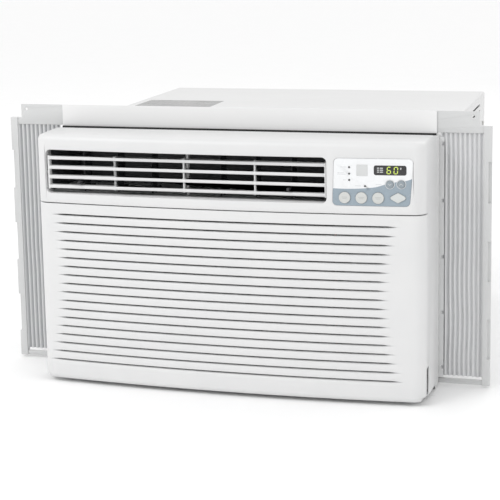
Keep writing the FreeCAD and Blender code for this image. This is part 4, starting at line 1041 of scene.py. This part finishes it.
# %% Filter net
WIRE, MESH_PITCH, FRAME_RIB = 0.35 * MM, 3.4 * MM, 4 * MM
UPRIGHT_DEEP, ACROSS_DEEP = 1.2 * MM, 0.8 * MM
ON_ITS_SIDE = Matrix(((0, 0, -1, 0), (0, 1, 0, 0), (1, 0, 0, 0), (0, 0, 0, 1)))
low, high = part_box("air_filter")
wide, tall = high.x - low.x - 2 * FRAME_RIB, high.z - low.z - 2 * FRAME_RIB
for name, start, length, height, deep in (
        ("filter_wires_upright", (low.x, low.z), wide, tall, UPRIGHT_DEEP),
        ("filter_wires_across", (low.z, -high.x), tall, wide, ACROSS_DEEP)):
    wires = grow(name, fin_pack, "filter_net", flat=True, Size=(length, WIRE, height), Pitch=MESH_PITCH,
                 Low=(start[0] + FRAME_RIB, high.y - deep, start[1] + FRAME_RIB), Thickness=WIRE)
    if name == "filter_wires_across":
        wires.data.transform(ON_ITS_SIDE)
    settle(wires, "chassis", "filter_net")

# %% [markdown]
# Zinc-plated pan-head screws hold the guard and the front. A screw head is a low cone with a cross driven
# into it; the tree cuts the cross with two bars and sets a head on each point, turned so that it faces out
# of its panel.

# %% Screw tree
RIM_SHARE, CROWN_SHARE, RIM_HEIGHT, SIDES = 0.98, 0.62, 0.45, 20
CROSS_LONG, CROSS_WIDE, CROSS_LIFT = 0.9, 0.2, 0.95
pan_heads, given = start_tree("pan_heads", {"Radius": 0.0045, "Height": 0.0024, "Turn": (0.0, 0.0, 0.0)})


def head_part(kind, inputs, lift=0.0):
    """One shape of the screw head, lifted by a share of its height."""
    shape = result(pan_heads, kind, inputs)
    lifted = {"Geometry": shape, "Translation": vector(z=times(given["Height"], lift))}
    return result(pan_heads, "GeometryNodeTransform", lifted)


rim, dome = (head_part("GeometryNodeMeshCone", {
    "Vertices": SIDES, "Radius Top": times(given["Radius"], top),
                                                "Radius Bottom": times(given["Radius"], foot),
    "Depth": times(given["Height"], depth)}, lift)
    for top, foot, depth, lift in ((RIM_SHARE, 1.0, RIM_HEIGHT, 0.0),
                                   (CROWN_SHARE, RIM_SHARE, 1 - RIM_HEIGHT, RIM_HEIGHT)))
head = result(pan_heads, "GeometryNodeMergeByDistance", {0: joined(rim, dome), "Distance": 0.01 * MM})
recess = add(pan_heads, "GeometryNodeMeshBoolean", operation="DIFFERENCE")
connect(head, recess.inputs["Mesh 1"])
for along_x, along_y in ((CROSS_LONG, CROSS_WIDE), (CROSS_WIDE, CROSS_LONG)):
    size = vector(times(given["Radius"], along_x), times(given["Radius"], along_y), given["Height"])
    connect(head_part("GeometryNodeMeshCube", {"Size": size}, CROSS_LIFT), recess.inputs["Mesh 2"])
end_tree(given, repeated(recess.outputs[0], given["Geometry"], Rotation=given["Turn"]))

# %% Screws on the guard and the sides
def islands(label):
    """Lowest and highest corner of each separate solid in a node."""
    shape = bmesh.new()
    shape.from_mesh(nodes[label].data)
    bmesh.ops.remove_doubles(shape, verts=shape.verts, dist=0.01 * MM)
    left, found = set(shape.verts), []
    while left:
        queue, seen = [left.pop()], []
        while queue:
            vert = queue.pop()
            seen.append(vert.co.copy())
            for edge in vert.link_edges:
                other = edge.other_vert(vert)
                if other in left:
                    left.remove(other)
                    queue.append(other)
        found.append((Vector(map(min, zip(*seen))), Vector(map(max, zip(*seen)))))
    shape.free()
    return found


SCREW_RADIUS, GUARD_HEAD, SIDE_HEAD_TALL, SUNK = 4.5 * MM, 2.3 * MM, 2.1 * MM, 0.5 * MM
spots = [((low.x + high.x) / 2, low.y + SUNK, (low.z + high.z) / 2) for low, high in islands("rear_screws")]
heads = grow("guard_screws", pan_heads, "screw_zinc", points=spots, Radius=SCREW_RADIUS, Height=GUARD_HEAD,
             Turn=(-math.pi / 2, 0, 0))
settle(heads, "chassis", "screw_zinc", "rear_screws")
for name, side in (("side_screws_left", -1), ("side_screws_right", 1)):
    spots = [(high.x - SUNK if side < 0 else low.x + SUNK, (low.y + high.y) / 2, (low.z + high.z) / 2)
             for low, high in islands("side_screws") if low.x * side > 0]
    heads = grow(name, pan_heads, "screw_zinc", points=spots, Radius=SCREW_RADIUS, Height=SIDE_HEAD_TALL,
                 Turn=(0, side * math.pi / 2, 0))
    settle(heads, "chassis", "screw_zinc", "side_screws")

# %% [markdown]
# The display shows two figures of seven bars each behind its black window. A bar is a long hexagon. The
# figures lean a little, as such figures do, and lie on the bow of the window, so each point finds its depth
# from the bow.

# %% Shapes on the bowed face
def front_y(x):
    """Depth of the bowed face at a distance from the middle, in millimetres."""
    return BOW_RADIUS - FRONT_DEPTH - math.sqrt(BOW_RADIUS ** 2 - x ** 2)


def flat_shapes(name, outlines, proud, thickness, finish_name, body="chassis", slot="display_black"):
    """Thin solid shapes on the bowed face, from outlines of (x, z) points in millimetres."""
    shape = bmesh.new()
    for outline in outlines:
        front, back = ([shape.verts.new(Vector((x, front_y(x) - depth, z)) * MM) for x, z in outline]
                       for depth in (proud, proud - thickness))
        shape.faces.new(front)
        shape.faces.new(back[::-1])
        for i, vert in enumerate(front):
            shape.faces.new((front[i - 1], back[i - 1], back[i], vert))
    bmesh.ops.recalc_face_normals(shape, faces=shape.faces)
    print(name, "faces", len(shape.faces))
    settle(new_piece(name, mesh_of(shape, name, finish_name)), body, slot)


# %% Figures and icons on the display
FIGURE_WIDE, FIGURE_TALL, BAR, BAR_GAP, LEAN = 5.4, 10.4, 1.25, 0.35, 0.07
FIGURE_LOW, FIRST_LEFT, SECOND_LEFT = 376.0, 266.8, 277.6
LENS_FACE, PRINT_PROUD, PRINT_THICK = -1.0, 0.1, 0.15
ENDS = {"top": ((0, 1), (1, 1)), "middle": ((0, .5), (1, .5)), "bottom": ((0, 0), (1, 0)),
        "upper_left": ((0, .5), (0, 1)), "upper_right": ((1, .5), (1, 1)),
        "lower_left": ((0, 0), (0, .5)), "lower_right": ((1, 0), (1, .5))}
LIT = {"6": ("top", "middle", "bottom", "upper_left", "lower_left", "lower_right"),
       "0": ("top", "bottom", "upper_left", "upper_right", "lower_left", "lower_right")}


def figure(digit, left):
    """Outlines of the lit bars of one figure."""
    outlines = []
    for name in LIT[digit]:
        a, b = (np.array(end) * (FIGURE_WIDE, FIGURE_TALL) for end in ENDS[name])
        way = (b - a) / np.linalg.norm(b - a)
        tip = way * BAR / 2
        wide = np.array((-tip[1], tip[0]))
        a, b = a + way * BAR_GAP, b - way * BAR_GAP
        points = [a, a + tip + wide, b - tip + wide, b, b - tip - wide, a + tip - wide]
        outlines.append([(left + x + z * LEAN, FIGURE_LOW + z) for x, z in points])
    return outlines


flat_shapes("display_figures", figure("6", FIRST_LEFT) + figure("0", SECOND_LEFT), LENS_FACE + PRINT_PROUD,
            PRINT_THICK, "digit_glow")
ICON_TOP, ICON_PITCH, HALF_ICON = 384.6, 3.1, 0.8
icon_bars = []
for row in range(3):
    low, high = (ICON_TOP - ICON_PITCH * row + way * HALF_ICON for way in (-1, 1))
    icon_bars += [[(start, low), (end, low), (end, high), (start, high)]
                  for start, end in ((251.5, 254.6), (255.8, 260.8))]
icon_bars.append([(287.2, 385.6), (289.6, 385.6), (288.6, 382.2), (287.6, 382.2)])
flat_shapes("display_icons", icon_bars, LENS_FACE + PRINT_PROUD, PRINT_THICK, "icon_white")

# %% [markdown]
# The arrow keys carry a raised white chevron each. It is a bent bar, a little proud of the cap, and rides
# with its own key, so that it moves when the key is pressed.

# %% Chevrons on the arrow keys
CAP_PROUD, CHEVRON_PROUD, CHEVRON_THICK = 1.0, 0.12, 0.3
HALF_CHEVRON, CHEVRON_RISE, CHEVRON_WEIGHT = 2.7, 1.5, 1.1
for label, (x, z) in ARROWS.items():
    way = 1 if label == "up_button" else -1
    tip, foot = z + way * CHEVRON_RISE, z - way * CHEVRON_RISE / 2
    tip_below, foot_below = tip - way * CHEVRON_WEIGHT, foot - way * CHEVRON_WEIGHT
    halves = [[(x - HALF_CHEVRON, foot), (x, tip), (x, tip_below), (x - HALF_CHEVRON, foot_below)],
              [(x, tip), (x + HALF_CHEVRON, foot), (x + HALF_CHEVRON, foot_below), (x, tip_below)]]
    flat_shapes("chevron_" + label, halves, CAP_PROUD + CHEVRON_PROUD, CHEVRON_THICK, "icon_white",
                body=label,
                slot="button_rubber")

# %% [markdown]
# The floor is a plain pale disc, wide enough to fill the view from every side. It belongs to the studio,
# not to the unit.

# %% Floor
FLOOR_RADIUS = 25.0
finish("floor_white", (0.97, 0.97, 0.97), (0.96, 0.96, 0.96), (0.7, 0.8), dust=0.0, depth=0.00001, seed=40.0)
shape = bmesh.new()
bmesh.ops.create_circle(shape, cap_ends=True, segments=96, radius=FLOOR_RADIUS)
floor = new_piece("studio_floor", mesh_of(shape, "studio_floor", "floor_white"))
print("floor radius", FLOOR_RADIUS, "m")
